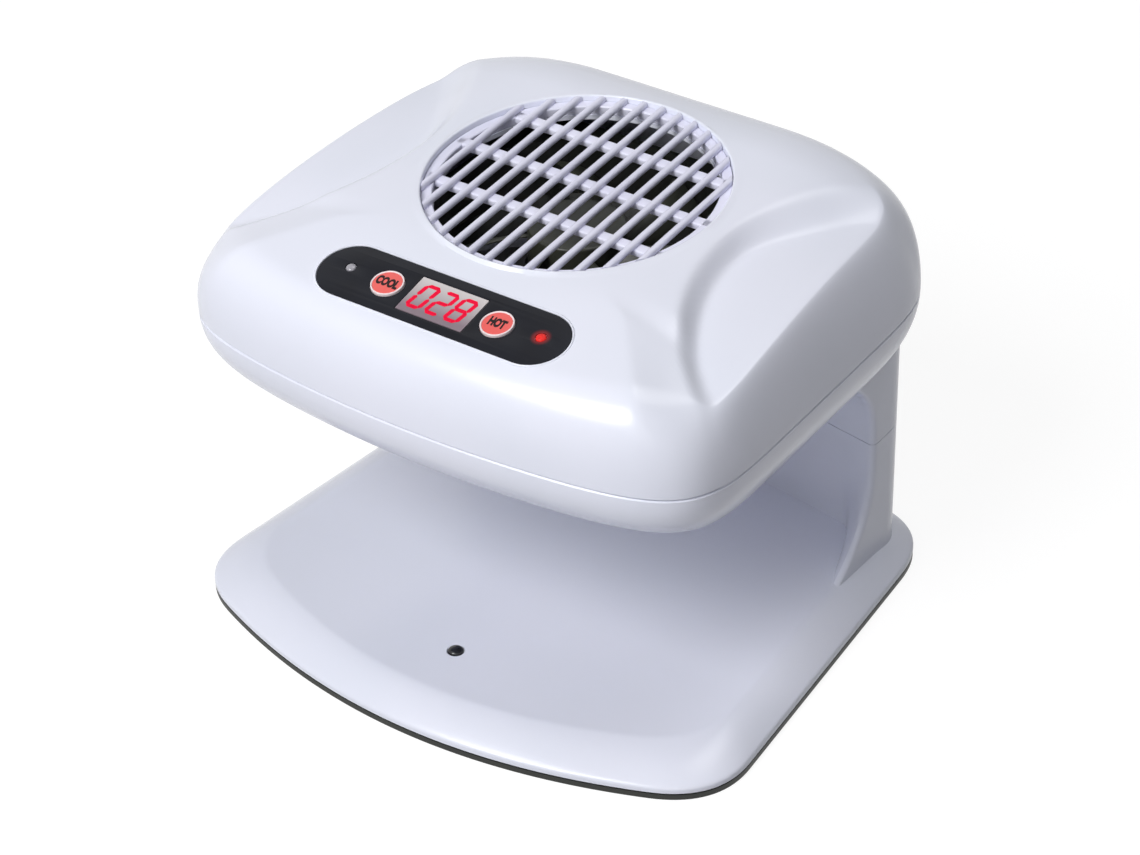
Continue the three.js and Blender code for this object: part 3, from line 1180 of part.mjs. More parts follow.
// The button's flange stops against the inside of the cover
function makeButton() {
  const flangeTop = -BUTTON_FLANGE_DROP;
  const flangeLow = flangeTop - BUTTON_FLANGE_THICKNESS;
  const stemEnd = SWITCH_BASE + SWITCH_HEIGHT + SWITCH_PLUNGER + BUTTON_TRAVEL + GAP;
  const rim = BUTTON_PROUD - BUTTON_DOME;
  return revolved([
    [0, stemEnd],
    [BUTTON_STEM_RADIUS, stemEnd],
    [BUTTON_STEM_RADIUS, flangeLow],
    [BUTTON_RADIUS + BUTTON_FLANGE, flangeLow],
    [BUTTON_RADIUS + BUTTON_FLANGE, flangeTop],
    [BUTTON_RADIUS, flangeTop],
    [BUTTON_RADIUS, rim],
    [BUTTON_RADIUS - BUTTON_DOME, BUTTON_PROUD - BUTTON_DOME / 3],
    [BUTTON_RADIUS / 2, BUTTON_PROUD],
    [0, BUTTON_PROUD],
  ], MEDIUM_STEPS);
}

function makeSwitch() {
  const top = SWITCH_BASE + SWITCH_HEIGHT;
  const body = block(SWITCH_SIDE, SWITCH_SIDE, SWITCH_BASE, top);
  return body.add(rod(SWITCH_PLUNGER_RADIUS, top - GAP, top + SWITCH_PLUNGER, SMALL_STEPS));
}

function makeLamp() {
  const low = SWITCH_BASE;
  const flange = low + LAMP_FLANGE_HEIGHT;
  return revolved([
    [0, low],
    [LAMP_RADIUS + LAMP_FLANGE, low],
    [LAMP_RADIUS + LAMP_FLANGE, flange],
    [LAMP_RADIUS, flange],
    [LAMP_RADIUS, LAMP_PROUD - LAMP_RADIUS / 2],
    [LAMP_RADIUS * cos(PI / 4), LAMP_PROUD - LAMP_RADIUS / 4],
    [0, LAMP_PROUD],
  ], SMALL_STEPS);
}

function makeControlBoard() {
  const board = block(BOARD_LENGTH, BOARD_WIDTH, -BOARD_DEPTH - BOARD_THICKNESS, -BOARD_DEPTH);
  return board.subtract(atPlaces(rod(PILOT_RADIUS, -2 * BOARD_DEPTH, 0, SCREW_STEPS), boardBossPlaces));
}

// Supply board and what stands on it
const SUPPLY_TOP = SUPPLY_BOARD_BOTTOM + BOARD_THICKNESS;

function makeSupplyBoard() {
  const board = block(SUPPLY_WIDTH, SUPPLY_LENGTH, SUPPLY_BOARD_BOTTOM, SUPPLY_TOP);
  const holes = atPlaces(rod(PILOT_RADIUS, HEAD_FLOOR, HEAD_SEAM, SCREW_STEPS), supplyPlaces);
  return moved(board, SUPPLY_X, SUPPLY_Y, 0).subtract(holes);
}

function onSupplyBoard(solid, [acrossShare, alongShare]) {
  const x = SUPPLY_X + (acrossShare * SUPPLY_WIDTH) / 2;
  return moved(solid, x, SUPPLY_Y + (alongShare * SUPPLY_LENGTH) / 2, SUPPLY_TOP + GAP);
}

// A laminated core with a bobbin through it
function makeTransformer() {
  const [width, depth, height] = TRANSFORMER_SIZE;
  const core = block(width * TRANSFORMER_CORE_SHARE, depth, 0, height);
  const bobbinEdge = TRANSFORMER_BOBBIN_EDGE_SHARE * height;
  const bobbin = block(width, depth * TRANSFORMER_BOBBIN_SHARE, bobbinEdge, height - bobbinEdge);
  return onSupplyBoard(core.add(bobbin), TRANSFORMER_PLACE_SHARES);
}

function makeRelay() {
  const [width, depth, height] = RELAY_SIZE;
  return onSupplyBoard(block(width, depth, 0, height), RELAY_PLACE_SHARES);
}

function makeCapacitor() {
  return onSupplyBoard(rod(CAPACITOR_RADIUS, 0, CAPACITOR_HEIGHT, SMALL_STEPS), CAPACITOR_PLACE_SHARES);
}

function makeFuse() {
  const fuse = rod(FUSE_RADIUS, -FUSE_LENGTH / 2, FUSE_LENGTH / 2, SMALL_STEPS).rotate([90, 0, 0]);
  return onSupplyBoard(moved(fuse, 0, 0, FUSE_RADIUS), FUSE_PLACE_SHARES);
}

// The assembly
const part = new THREE.Group();

function put(name, solid, material, frame = part) {
  const mesh = new THREE.Mesh(toGeometry(solid), material);
  mesh.name = name;
  frame.add(mesh);
  return mesh;
}

function putEach(name, solid, material, places, z, frame = part) {
  places.forEach(([x, y], index) => {
    put(`${name}_${index + 1}`, solid, material, frame).position.set(x, y, z);
  });
}

const plateScrew = makeScrew(PLATE_SCREW_LENGTH, PLATE_SCREW_HEAD - GAP);
const plateScrewSeat = FOOT_PROUD + PLATE_SCREW_HEAD - GAP;
const longScrew = makeScrew(LONG_SCREW_LENGTH);
const shortScrew = makeScrew(SHORT_SCREW_LENGTH);
const headDown = [180, 0, 0];
const boardScrewSeat = -BOARD_DEPTH - BOARD_THICKNESS - GAP;

const panel = new THREE.Group();
panel.position.set(0, PANEL_Y, PANEL_HEIGHT);
panel.rotation.x = PANEL_TILT;
part.add(panel);

put('base_shell', makeBaseShell(), whitePlastic);
put('bottom_plate', makeBottomPlate(), blackPlastic);
putEach('foot', makeFoot(), rubber, footPlaces, 0);
putEach('bottom_screw', plateScrew, steel, plateScrewPlaces, plateScrewSeat);
put('sensor_lens', moved(makeSensorLens(), 0, SENSOR_Y, 0), blackLens);
put('sensor_board', moved(makeSensorBoard(), 0, SENSOR_Y, 0), boardGreen);
put('cord_gland', makeGland(), rubber);

put('lower_cover', makeLowerCover(), whitePlastic);
put('upper_cover', makeUpperCover(), whitePlastic);
putEach('column_screw', longScrew, steel, columnBossPlaces, SHELF_TOP - COLUMN_SHELF - GAP);
putEach('head_screw', longScrew, steel, headBossPlaces, HEAD_SCREW_Z - GAP);
put('inlet_grille', makeInletGrille(), whitePlastic);
put('outlet_grille', makeOutletGrille(), whitePlastic);

put('fan_frame', makeFanFrame(), blackPlastic);
put('fan_stator', makeStator(), copper);
put('fan_rotor', makeRotor(), blackPlastic);
putEach('fan_screw', longScrew.rotate(headDown), steel, fanScrewPlaces, FAN_BOTTOM + FAN_FLANGE + GAP);
put('air_duct', makeDuct(), blackPlastic);
put('heater_frame', makeHeaterFrame(), mica);
put('heater_coil', makeHeaterCoil(), heaterWire);
put('thermostat', makeThermostat(), steel);

put('panel_label', makeLabel(), labelBlack, panel);
put('display_window', makeWindow(), silverFace, panel);
put('display_module', makeDisplay(), switchBlack, panel);
put('control_board', makeControlBoard(), boardGreen, panel);
put('cool_button', moved(makeButton(), -BUTTON_X, 0, 0), coral, panel);
put('hot_button', moved(makeButton(), BUTTON_X, 0, 0), coral, panel);
put('tact_switch_cool', moved(makeSwitch(), -BUTTON_X, 0, 0), switchBlack, panel);
put('tact_switch_hot', moved(makeSwitch(), BUTTON_X, 0, 0), switchBlack, panel);
put('led_cool', moved(makeLamp(), -LAMP_X, LAMP_SHIFT, 0), clearLamp, panel);
put('led_hot', moved(makeLamp(), LAMP_X, LAMP_SHIFT, 0), redLamp, panel);
putEach('board_screw', shortScrew, steel, boardBossPlaces, boardScrewSeat, panel);

put('power_board', makeSupplyBoard(), boardGreen);
put('transformer', makeTransformer(), laminate);
put('relay', makeRelay(), relayCase);
put('capacitor', makeCapacitor(), switchBlack);
put('fuse', makeFuse(), clearLamp);
putEach('power_screw', shortScrew.rotate(headDown), steel, supplyPlaces, SUPPLY_TOP + GAP);

export default part;
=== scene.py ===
import math

import bmesh
import bpy
from mathutils import Matrix, Vector


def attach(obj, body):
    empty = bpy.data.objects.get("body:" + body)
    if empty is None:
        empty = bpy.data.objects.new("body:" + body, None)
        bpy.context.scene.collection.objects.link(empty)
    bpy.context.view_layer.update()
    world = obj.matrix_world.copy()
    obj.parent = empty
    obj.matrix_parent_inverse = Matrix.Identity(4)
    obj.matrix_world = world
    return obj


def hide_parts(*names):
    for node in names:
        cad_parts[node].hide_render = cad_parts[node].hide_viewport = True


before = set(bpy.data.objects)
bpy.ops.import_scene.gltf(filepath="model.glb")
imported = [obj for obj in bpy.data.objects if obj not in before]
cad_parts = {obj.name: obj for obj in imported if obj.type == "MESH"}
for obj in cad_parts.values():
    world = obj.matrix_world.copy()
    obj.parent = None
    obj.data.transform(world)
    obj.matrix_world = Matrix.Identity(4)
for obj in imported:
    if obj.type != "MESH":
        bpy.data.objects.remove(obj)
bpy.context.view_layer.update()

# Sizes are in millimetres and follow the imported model; points become metres when a mesh is made
MM = 0.001
GAP = 0.3
OVERRUN = 1
SAME_POINT = 0.01
AXIS_RADIUS = 0.01

# Base
BASE_WIDTH = 257
BASE_DEPTH = 231
BASE_FRONT_BOW = 32.9
BASE_BACK_BOW = 6
BASE_SIDE_TAPER = 17
BASE_FRONT_CORNER = 25
BASE_BACK_CORNER = 34
BASE_TOP = 14
BASE_RIM_HEIGHT = 2.6
BASE_BEVEL = 15.5
BASE_BEVEL_CROWN = 1.2
BASE_WALL = 2.4
FOOT_PROUD = 0.6
FOOT_RADIUS = 7
FOOT_RECESS = 1
PLATE_THICKNESS = 2.2
PLATE_SCREW_HEAD = 1.2
SCREW_HEAD_WELL = 3.1
SCREW_HOLE = 1.7
FOOT_PLACE_SHARES = [(0.82, -0.6), (0.74, 0.74)]
PLATE_SCREW_PLACE_SHARES = [(0.68, -0.66), (0.56, 0.5)]
BACK = BASE_DEPTH / 2
PLATE_TOP = FOOT_PROUD + PLATE_THICKNESS
SHELL_BOTTOM = PLATE_TOP + GAP
RIM_TOP = SHELL_BOTTOM + BASE_RIM_HEIGHT

# Column
COLUMN_HALF_WIDTH = 104
COLUMN_BACK = 10
COLUMN_BACK_BOW = 13
COLUMN_CORNER = 13
COLUMN_INNER = 27.3
COLUMN_INNER_BOW = 13.5
COLUMN_LEAN = 0.168
COLUMN_EDGE = 49
WING_WIDTH = 20
WING_FOOT_SWEEP = 26
WING_FOOT_RISE = 50
WING_HEAD_SWEEP = 24.5
WING_HEAD_DROP = 40
WING_FOOT_CURVE = 3
WING_HEAD_CURVE = 2.75
WING_EDGE_ROUND = 2.6
COLUMN_SPLIT = 68.5
COLUMN_WALL = 2.4
COLUMN_WALL_SLANT = 1.7
COLUMN_ARCH_SHARE = 0.3
COLUMN_TOP_SHARE = 0.5

# Head
HEAD_WIDTH = 246
HEAD_DEPTH = 213
HEAD_FRONT_BOW = 14
HEAD_BACK_TAPER = 5
HEAD_Y = 10
HEAD_FRONT_SQUARENESS = 9
HEAD_BACK_SQUARENESS = 3.9
HEAD_SEAM = 137
HEAD_UNDERSIDE = 109.5
HEAD_SIDE_TUCK = 18
HEAD_END_TUCK = 25
HEAD_BULGE = 0.8
HEAD_WALL = 2.4
HEAD_FLOOR = HEAD_UNDERSIDE + HEAD_WALL
HEAD_BACK = HEAD_Y + HEAD_DEPTH / 2
SHOULDER_SIDE_SHARE = 0.86
SHOULDER_FRONT_SHARE = 0.84
SHOULDER_BACK_SHARE = 0.72
SHOULDER_SIDE_ROUND = 2.4
SHOULDER_FRONT_ROUND = 2.5
SHOULDER_BACK_ROUND = 3.3
RIDGE_FRONT_SHARE = 0.943
RIDGE_BACK_SHARE = 0.876
RIDGE_ROUND = 1.35
RIDGE_SHIFT = 4
RIDGE_REACH = 94
RIDGE_BLEND = 22
SIDE_FALL = 12
SIDE_FALL_START = 45
SIDE_REAR_FALL = 19
SIDE_REAR_START = 30
SIDE_REAR_BLEND = 40
REAR_FALL = 22
REAR_FALL_START = 62
CREASE_SOFTNESS = 1.6
FACET_HALF_WIDTH = 60
FACET_SPREAD = 0.83
FACET_LIMIT_SHARE = 0.94
FACET_LIMIT_SOFTNESS = 12
FACET_SIDE_FALL = 14
ROOF_EDGE_POWER = 2
FACET_EDGE_POWER = 1.2
FACET_BLEND = 14
SCOOP_X = 148
SCOOP_RADIUS = 80.5
SCOOP_STRETCH = 1.13
SCOOP_RIDGE_HEIGHT = 173.4
SCOOP_FLOOR_SLOPE = 0.07
SCOOP_CREST = 22
SCOOP_FALL = 8
SCOOP_FALL_LENGTH = 90
SCOOP_STEP = 8
SCOOP_REAR_STEP = 18
SCOOP_FADE_START = 45
SCOOP_FADE_LENGTH = 50
SCOOP_REAR_DEPTH_SHARE = 0.6
HEAD_SCREW_SEAT = 4
HEAD_BOSS_PLACE_SHARES = [(0.77, -0.7), (0.7, 0.36)]

# Inlet grille
GRILLE_TILT = math.radians(3.87)
GRILLE_Y = 12.4
GRILLE_HEIGHT = 185.2
GRILLE_RADIUS = 60
GRILLE_DEPTH = 6
GRILLE_LEDGE = 4
GRILLE_RECESS = 2.5
GRILLE_FINS = 13
GRILLE_FIN_PITCH = 8.43
GRILLE_FIN_WIDTH = 2.8
GRILLE_FIN_DEPTH = 3.2
GRILLE_BARS = 3
GRILLE_BAR_WIDTH = 5
GRILLE_BAR_PITCH = 26
GRILLE_BAR_SHIFT = 3.5
GRILLE_BAR_RAISE = 0.6
GRILLE_BAR_ROUND = 0.7
GRILLE_BAR_INSET = 1
GRILLE_LEDGE_EDGE = 0.4
GRILLE_SHELF_WIDTH = 4.6
GRILLE_SHELF = 2
GRILLE_SEAT = GRILLE_DEPTH + GAP

# Control panel
PANEL_TILT = math.radians(12)
PANEL_Y = -73.9
PANEL_HEIGHT = 175
PANEL_LENGTH = 111.6
PANEL_WIDTH = 28.3
PANEL_THICKNESS = 0.8
PANEL_EDGE = 0.22
DISPLAY_LENGTH = 30
DISPLAY_WIDTH = 18.4
WINDOW_THICKNESS = 1
WINDOW_EDGE = 0.12
BUTTON_RADIUS = 6.55
BUTTON_X = 25.2
BUTTON_PROUD = 0.8
BUTTON_RING = 0.75
BUTTON_FACE = 0.62
BUTTON_FACE_CROWN = 0.08
BUTTON_EDGE_DROP = 0.3
BUTTON_EDGE_WIDTH = 0.5
BUTTON_EDGE_STEPS = 4
BUTTON_FLANGE = 1.1
BUTTON_FLANGE_DROP = 3.9
BUTTON_FLANGE_LOW = -5.1
BUTTON_STEM_RADIUS = 1.6
BUTTON_STEM_END = -5.4
BUTTON_RING_LOW = -1.5
LAMP_RADIUS = 2
LAMP_X = 43.6
LAMP_SHIFT = 1.5
LAMP_PROUD = 0.6
LAMP_DOME = 1
LAMP_FLANGE_RADIUS = 2.5
LAMP_FLANGE_HEIGHT = 1
LAMP_LOW = -10.7

# Fan and outlet
FAN_TOP = 170
FAN_HEIGHT = 25
FAN_SEAT = 3
FAN_BOTTOM = FAN_TOP - FAN_HEIGHT
ROTOR_RADIUS = 56
HUB_RADIUS = 19.5
HUB_WALL = 1.6
HUB_HEIGHT = 17
HUB_ROUND = 1.5
HUB_EDGE_STEPS = 5
FAN_SHAFT_RADIUS = 1.5
BLADES = 7
BLADE_THICKNESS = 1.8
BLADE_HEIGHT_SHARE = 0.78
BLADE_ROOT_PITCH = math.radians(48)
BLADE_TIP_PITCH = math.radians(27)
BLADE_SWEEP = math.radians(22)
BLADE_CAMBER = 2.2
BLADE_EDGE_SHARE = 0.06
OUTLET_RADIUS = 50

# Sensor and gland
SENSOR_Y = -76.4
SENSOR_RADIUS = 3.1
SENSOR_PROUD = 1.4
SENSOR_FLANGE = 1.4
SENSOR_FLANGE_THICKNESS = 1.2
GLAND_HEIGHT = 30
GLAND_RADIUS = 5

# How finely curves are cut
HEAD_STEPS = 288
CORNER_PULL = 0.4
ROOF_RINGS = 30
SHOULDER_RINGS = 24
BOWL_RINGS = 18
COLUMN_RINGS = 30
ROUND_STEPS = 96
SMALL_STEPS = 48
TURNED_STEPS = 72
DOME_STEPS = 64
DOME_ARC_STEPS = 10
LEDGE_STEPS = 160
BLADE_RINGS = 12
BLADE_STEPS = 10
FIN_STEPS = 8
ARC_STEPS = 8

GRILLE_FRAME = Matrix.Translation((0, GRILLE_Y, GRILLE_HEIGHT)) @ Matrix.Rotation(GRILLE_TILT, 4, "X")
PANEL_FRAME = Matrix.Translation((0, PANEL_Y, PANEL_HEIGHT)) @ Matrix.Rotation(PANEL_TILT, 4, "X")
UNMOVED = Matrix.Identity(4)


# Small sums
def mix(start, end, share):
    return start + (end - start) * share


def softer_least(first, second, softness):
    """The lesser of two values, with a rounded change from one to the other"""
    return (first + second - math.hypot(first - second, softness)) / 2


def smooth(value):
    share = min(max(value, 0), 1)
    return share * share * (3 - 2 * share)


def power(base, exponent):
    return max(base, 0) ** exponent


def shares(count):
    return [step / count for step in range(count + 1)]


def curve_points(start, control, end, steps):
    """Points on a quadratic curve, without its start"""
    points = []
    for share in shares(steps)[1:]:
        low = [mix(a, b, share) for a, b in zip(start, control)]
        high = [mix(a, b, share) for a, b in zip(control, end)]
        points.append([mix(a, b, share) for a, b in zip(low, high)])
    return points


def mirrored(points):
    """A closed outline from its right half, whose two ends lie on the middle line"""
    return points + [[-x, y] for x, y in reversed(points[1:-1])]


def at_height(points, z):
    return [(point[0], point[1], z) for point in points]


def moved(x, y=0, z=0):
    return Matrix.Translation((x, y, z))


def row(count, pitch):
    """Evenly spaced places about the middle"""
    return [(place - (count - 1) / 2) * pitch for place in range(count)]


def angles_round(steps):
    return [2 * math.pi * step / steps for step in range(steps)]


def ring_about(radius, z, angles):
    """A ring round the upright axis"""
    return [(radius * math.cos(a), radius * math.sin(a), z) for a in angles]


def dome(radius, base, height, steps):
    """Profile of a dome that stands on a height, without its ends"""
    turns = [math.pi / 2 * share for share in shares(steps)[1:-1]]
    return [(radius * math.cos(turn), base + height * math.sin(turn)) for turn in turns]


# Meshes
def new_object(name, data):
    obj = bpy.data.objects.new(name, data)
    bpy.context.scene.collection.objects.link(obj)
    return obj


def mesh_of(shape):
    """The mesh of an object with its modifiers, or of a curve"""
    graph = bpy.context.evaluated_depsgraph_get()
    return bpy.data.meshes.new_from_object(shape.evaluated_get(graph))


def curve_mesh(curve, place):
    """The mesh of a curve in metres, set down at a place in millimetres"""
    shape = new_object("curve", curve)
    mesh = mesh_of(shape)
    bpy.data.objects.remove(shape)
    mesh.transform(Matrix.Translation(place.translation * MM) @ place.to_3x3().to_4x4())
    return mesh


def from_bmesh(name, body):
    bmesh.ops.recalc_face_normals(body, faces=body.faces)
    mesh = bpy.data.meshes.new(name)
    body.to_mesh(mesh)
    body.free()
    return new_object(name, mesh)


def add_rings(body, rings, closed=False, place=UNMOVED):
    """Adds a skin through rings of points; open skins are capped at both ends"""
    scale = Matrix.Scale(MM, 4)
    rows = [[body.verts.new(scale @ place @ Vector(point)) for point in ring] for ring in rings]
    count = len(rings[0])
    bands = len(rows) if closed else len(rows) - 1
    for band in range(bands):
        low = rows[band]
        high = rows[(band + 1) % len(rows)]
        for side in range(count):
            following = (side + 1) % count
            body.faces.new((low[side], low[following], high[following], high[side]))
    if not closed:
        body.faces.new(rows[0])
        body.faces.new(rows[-1])


def skin(name, rings, closed=False, place=UNMOVED):
    body = bmesh.new()
    add_rings(body, rings, closed, place)
    return from_bmesh(name, body)


def lathe_rings(profile, steps):
    """Rings of a turned shape, from a profile of radius and height"""
    return [ring_about(radius, z, angles_round(steps)) for radius, z in profile]


def lathe(name, profile, steps=ROUND_STEPS, closed=False, place=UNMOVED):
    return skin(name, lathe_rings(profile, steps), closed, place)


def rod(radius, low, high, place=UNMOVED, steps=SMALL_STEPS):
    return lathe("cutter", [(radius, low), (radius, high)], steps, place=place)


def combine(target, other, operation):
    """Joins or cuts a solid with another, which is used up"""
    modifier = target.modifiers.new("combine", "BOOLEAN")
    modifier.operation = operation
    modifier.solver = "EXACT"
    modifier.object = other
    mesh = mesh_of(target)
    target.modifiers.clear()
    target.data = mesh
    bpy.data.objects.remove(other)


def cut(target, other):
    combine(target, other, "DIFFERENCE")


def join(target, other):
    combine(target, other, "UNION")


SHARP_ANGLE = math.radians(35)
COVER_SHARP_ANGLE = math.radians(30)
BEAD_SHARP_ANGLE = math.radians(60)


def finish(obj, look, body="housing", sharp=SHARP_ANGLE, replaces=()):
    """Shades a piece, gives it its material and lets it ride on its body"""
    obj.data.shade_smooth()
    obj.data.set_sharp_from_angle(angle=sharp)
    obj.data.materials.clear()
    obj.data.materials.append(MATERIALS[look])
    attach(obj, body)
    if replaces:
        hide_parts(*replaces)


# Materials
NOISE_SPREAD_SHARES = (0.35, 0.65)


def colour_of(red, green, blue):
    """A linear colour from one written in 8 bits a channel"""
    def linear(value):
        share = value / 255
        return share / 12.92 if share <= 0.04045 else ((share + 0.055) / 1.055) ** 2.4
    return (linear(red), linear(green), linear(blue), 1)


def set_inputs(node, **values):
    for socket, value in values.items():
        node.inputs[socket.replace("_", " ")].default_value = value
    return node


def add_node(tree, kind, **values):
    return set_inputs(tree.nodes.new(f"ShaderNode{kind}"), **values)


def link(source, node, socket):
    node.id_data.links.new(source, node.inputs[socket])


class Look:
    """A material with a Principled shader, and noise that varies its colour, roughness and surface"""

    def __init__(self, name):
        self.material = bpy.data.materials.new(name)
        self.material.use_nodes = True
        self.tree = self.material.node_tree
        self.shader = self.tree.nodes["Principled BSDF"]
        self.place = add_node(self.tree, "TexCoord").outputs["Object"]

    def noise(self, size, detail):
        """Noise whose blobs are about size millimetres wide"""
        node = add_node(self.tree, "TexNoise", Scale=1 / (size * MM), Detail=detail)
        link(self.place, node, "Vector")
        return node.outputs["Fac"]

    def slope(self, axis, start, end):
        """A share that grows along an axis from start to end, in millimetres"""
        parts = add_node(self.tree, "SeparateXYZ")
        node = add_node(self.tree, "MapRange", From_Min=start * MM, From_Max=end * MM)
        link(self.place, parts, "Vector")
        link(parts.outputs[axis], node, "Value")
        return node.outputs["Result"]

    def glow_round(self, middle, inner, outer, strength):
        """A glow that fades from one radius about a point to another"""
        away = add_node(self.tree, "VectorMath")
        away.operation = "DISTANCE"
        away.inputs[1].default_value = Vector(middle) * MM
        node = add_node(self.tree, "MapRange", From_Min=inner * MM, From_Max=outer * MM)
        set_inputs(node, To_Min=strength, To_Max=0)
        node.interpolation_type = "SMOOTHERSTEP"
        link(self.place, away, 0)
        link(away.outputs["Value"], node, "Value")
        link(node.outputs["Result"], self.shader, "Emission Strength")

    def colours(self, source, first, second, spread_shares=NOISE_SPREAD_SHARES):
        ramp = add_node(self.tree, "ValToRGB")
        for stop, position, colour in zip(ramp.color_ramp.elements, spread_shares, (first, second)):
            stop.position = position
            stop.color = colour_of(*colour)
        link(source, ramp, "Fac")
        link(ramp.outputs["Color"], self.shader, "Base Color")

    def roughness(self, source, low, high):
        node = add_node(self.tree, "MapRange", To_Min=low, To_Max=high)
        link(source, node, "Value")
        link(node.outputs["Result"], self.shader, "Roughness")

    def bump(self, source, height):
        node = add_node(self.tree, "Bump", Distance=height * MM, Strength=1)
        link(source, node, "Height")
        link(node.outputs["Normal"], self.shader, "Normal")


# Where the display window's painted reflection starts and ends, as shares from its lower to its upper edge
WINDOW_REFLECTION_SHARES = (0.15, 0.95)
LAMP_RED = (222, 46, 42)
HALO_RADIUS = 4.6
HALO_STRENGTH = 0.28

# Surfaces: width in millimetres and detail of the noise in the colour, in the gloss and in the grain
SURFACES = {
    "moulded": ((35, 1), (9, 3), (0.6, 1)),
    "smooth": ((70, 1), (9, 3), (3, 1)),
    "rubber": ((35, 1), (9, 3), (0.4, 1)),
    "sheet": ((35, 1), (9, 3), (1.5, 1)),
    "lacquer": ((35, 1), (9, 3), (0.8, 1)),
    "film": ((20, 3), (9, 3), (0.8, 1)),
    "lit": ((1.2, 3), (0.8, 3), (0.5, 1)),
    "metal": ((2.5, 3), (0.9, 3), (0.3, 2)),
}

# Looks: surface, name, two colours in 8 bits a channel, least and greatest roughness, and the grain's height
LOOKS = {
    "white": ("smooth", "white_gloss", (226, 229, 241), (230, 232, 244), 0.2, 0.265, 0.002),
    "grille": ("moulded", "white_grille", (218, 218, 236), (226, 226, 242), 0.3, 0.4, 0.004),
    "black": ("moulded", "black_moulding", (18, 20, 17), (28, 30, 25), 0.42, 0.55, 0.01),
    "fan": ("moulded", "fan_plastic", (46, 48, 41), (60, 62, 53), 0.3, 0.42, 0.006),
    "label": ("film", "panel_film", (17, 18, 25), (22, 24, 32), 0.3, 0.38, 0.001),
    "window": ("film", "display_film", (128, 112, 122), (204, 198, 198), 0.32, 0.42, 0.001),
    "digit": ("lit", "digit_red", (184, 7, 45), (214, 8, 52), 0.4, 0.5, 0.002),
    "coral": ("moulded", "button_coral", (226, 92, 88), (234, 104, 98), 0.4, 0.5, 0.004),
    "ring": ("moulded", "button_ring", (236, 220, 222), (242, 230, 232), 0.3, 0.4, 0.003),
    "ink": ("moulded", "word_ink", (20, 14, 16), (30, 20, 22), 0.45, 0.6, 0.002),
    "lamp_off": ("moulded", "lamp_clear", (138, 136, 146), (158, 156, 164), 0.12, 0.2, 0.002),
    "lamp_on": ("lit", "lamp_red", (191, 40, 36), LAMP_RED, 0.4, 0.5, 0.002),
    "lens": ("moulded", "sensor_dome", (8, 9, 12), (16, 17, 22), 0.06, 0.12, 0.001),
    "rubber": ("rubber", "foot_rubber", (30, 30, 30), (42, 42, 41), 0.7, 0.85, 0.02),
    "steel": ("metal", "screw_steel", (168, 168, 166), (196, 196, 193), 0.28, 0.42, 0.004),
    "copper": ("metal", "winding_copper", (176, 104, 62), (202, 128, 82), 0.3, 0.45, 0.004),
    "wire": ("metal", "heater_wire", (128, 122, 116), (158, 148, 138), 0.35, 0.5, 0.004),
    "mica": ("sheet", "mica_sheet", (186, 168, 132), (206, 190, 158), 0.35, 0.55, 0.03),
    "board": ("lacquer", "board_lacquer", (22, 74, 44), (30, 92, 54), 0.3, 0.4, 0.01),
    "component": ("moulded", "component_moulding", (22, 22, 24), (36, 36, 38), 0.4, 0.55, 0.01),
    "laminate": ("metal", "core_laminate", (96, 92, 90), (122, 118, 114), 0.4, 0.6, 0.004),
    "relay": ("moulded", "relay_case", (34, 84, 158), (44, 98, 176), 0.3, 0.4, 0.004),
    "glass": ("moulded", "fuse_glass", (206, 212, 206), (222, 228, 222), 0.05, 0.12, 0.004),
}
USUAL_SPECULAR = 0.5
SPECULAR_LEVELS = {"white": 0.42, "label": 0.15, "digit": 0.15, "lamp_on": 0.15, "ink": 0.2}
GLOWS = {"digit": 0.4, "lamp_on": 0.26}


def make_material(key):
    """A look's material; the window's colour is lighter at its upper edge, a painted reflection, and the film
    has the lit lamp's halo
    """
    surface, name, first, second, low, high, height = LOOKS[key]
    drift, gloss, grain = SURFACES[surface]
    look = Look(name)
    if key == "window":
        # The window's painted reflection: its colour grows lighter towards its upper edge
        middle = PANEL_FRAME.translation.y
        half = math.cos(PANEL_TILT) * DISPLAY_WIDTH / 2
        look.colours(look.slope("Y", middle - half, middle + half), first, second, WINDOW_REFLECTION_SHARES)
    else:
        look.colours(look.noise(*drift), first, second)
    look.roughness(look.noise(*gloss), low, high)
    look.bump(look.noise(*grain), height)
    specular = SPECULAR_LEVELS.get(key, USUAL_SPECULAR)
    set_inputs(look.shader, Specular_IOR_Level=specular, Metallic=int(surface == "metal"))
    if key in GLOWS:
        set_inputs(look.shader, Emission_Color=colour_of(*second), Emission_Strength=GLOWS[key])
    if key == "label":
        set_inputs(look.shader, Emission_Color=colour_of(*LAMP_RED))
        lamp = PANEL_FRAME @ Vector((LAMP_X, LAMP_SHIFT, 0))
        look.glow_round(lamp, LAMP_RADIUS, HALO_RADIUS, HALO_STRENGTH)
    return look.material


MATERIALS = {key: make_material(key) for key in LOOKS}


# Base
BASE_FRONT_STEPS = 30
BASE_FRONT_CORNER_STEPS = 18
BASE_SIDE_STEPS = 16
BASE_BACK_CORNER_STEPS = 20
BASE_BACK_STEPS = 16
RIM_ROUND = 0.9
RIM_FOOT_ROUND = 0.35
RIM_STEPS = 5
BEVEL_RINGS = 14
TOP_MARGIN = 2


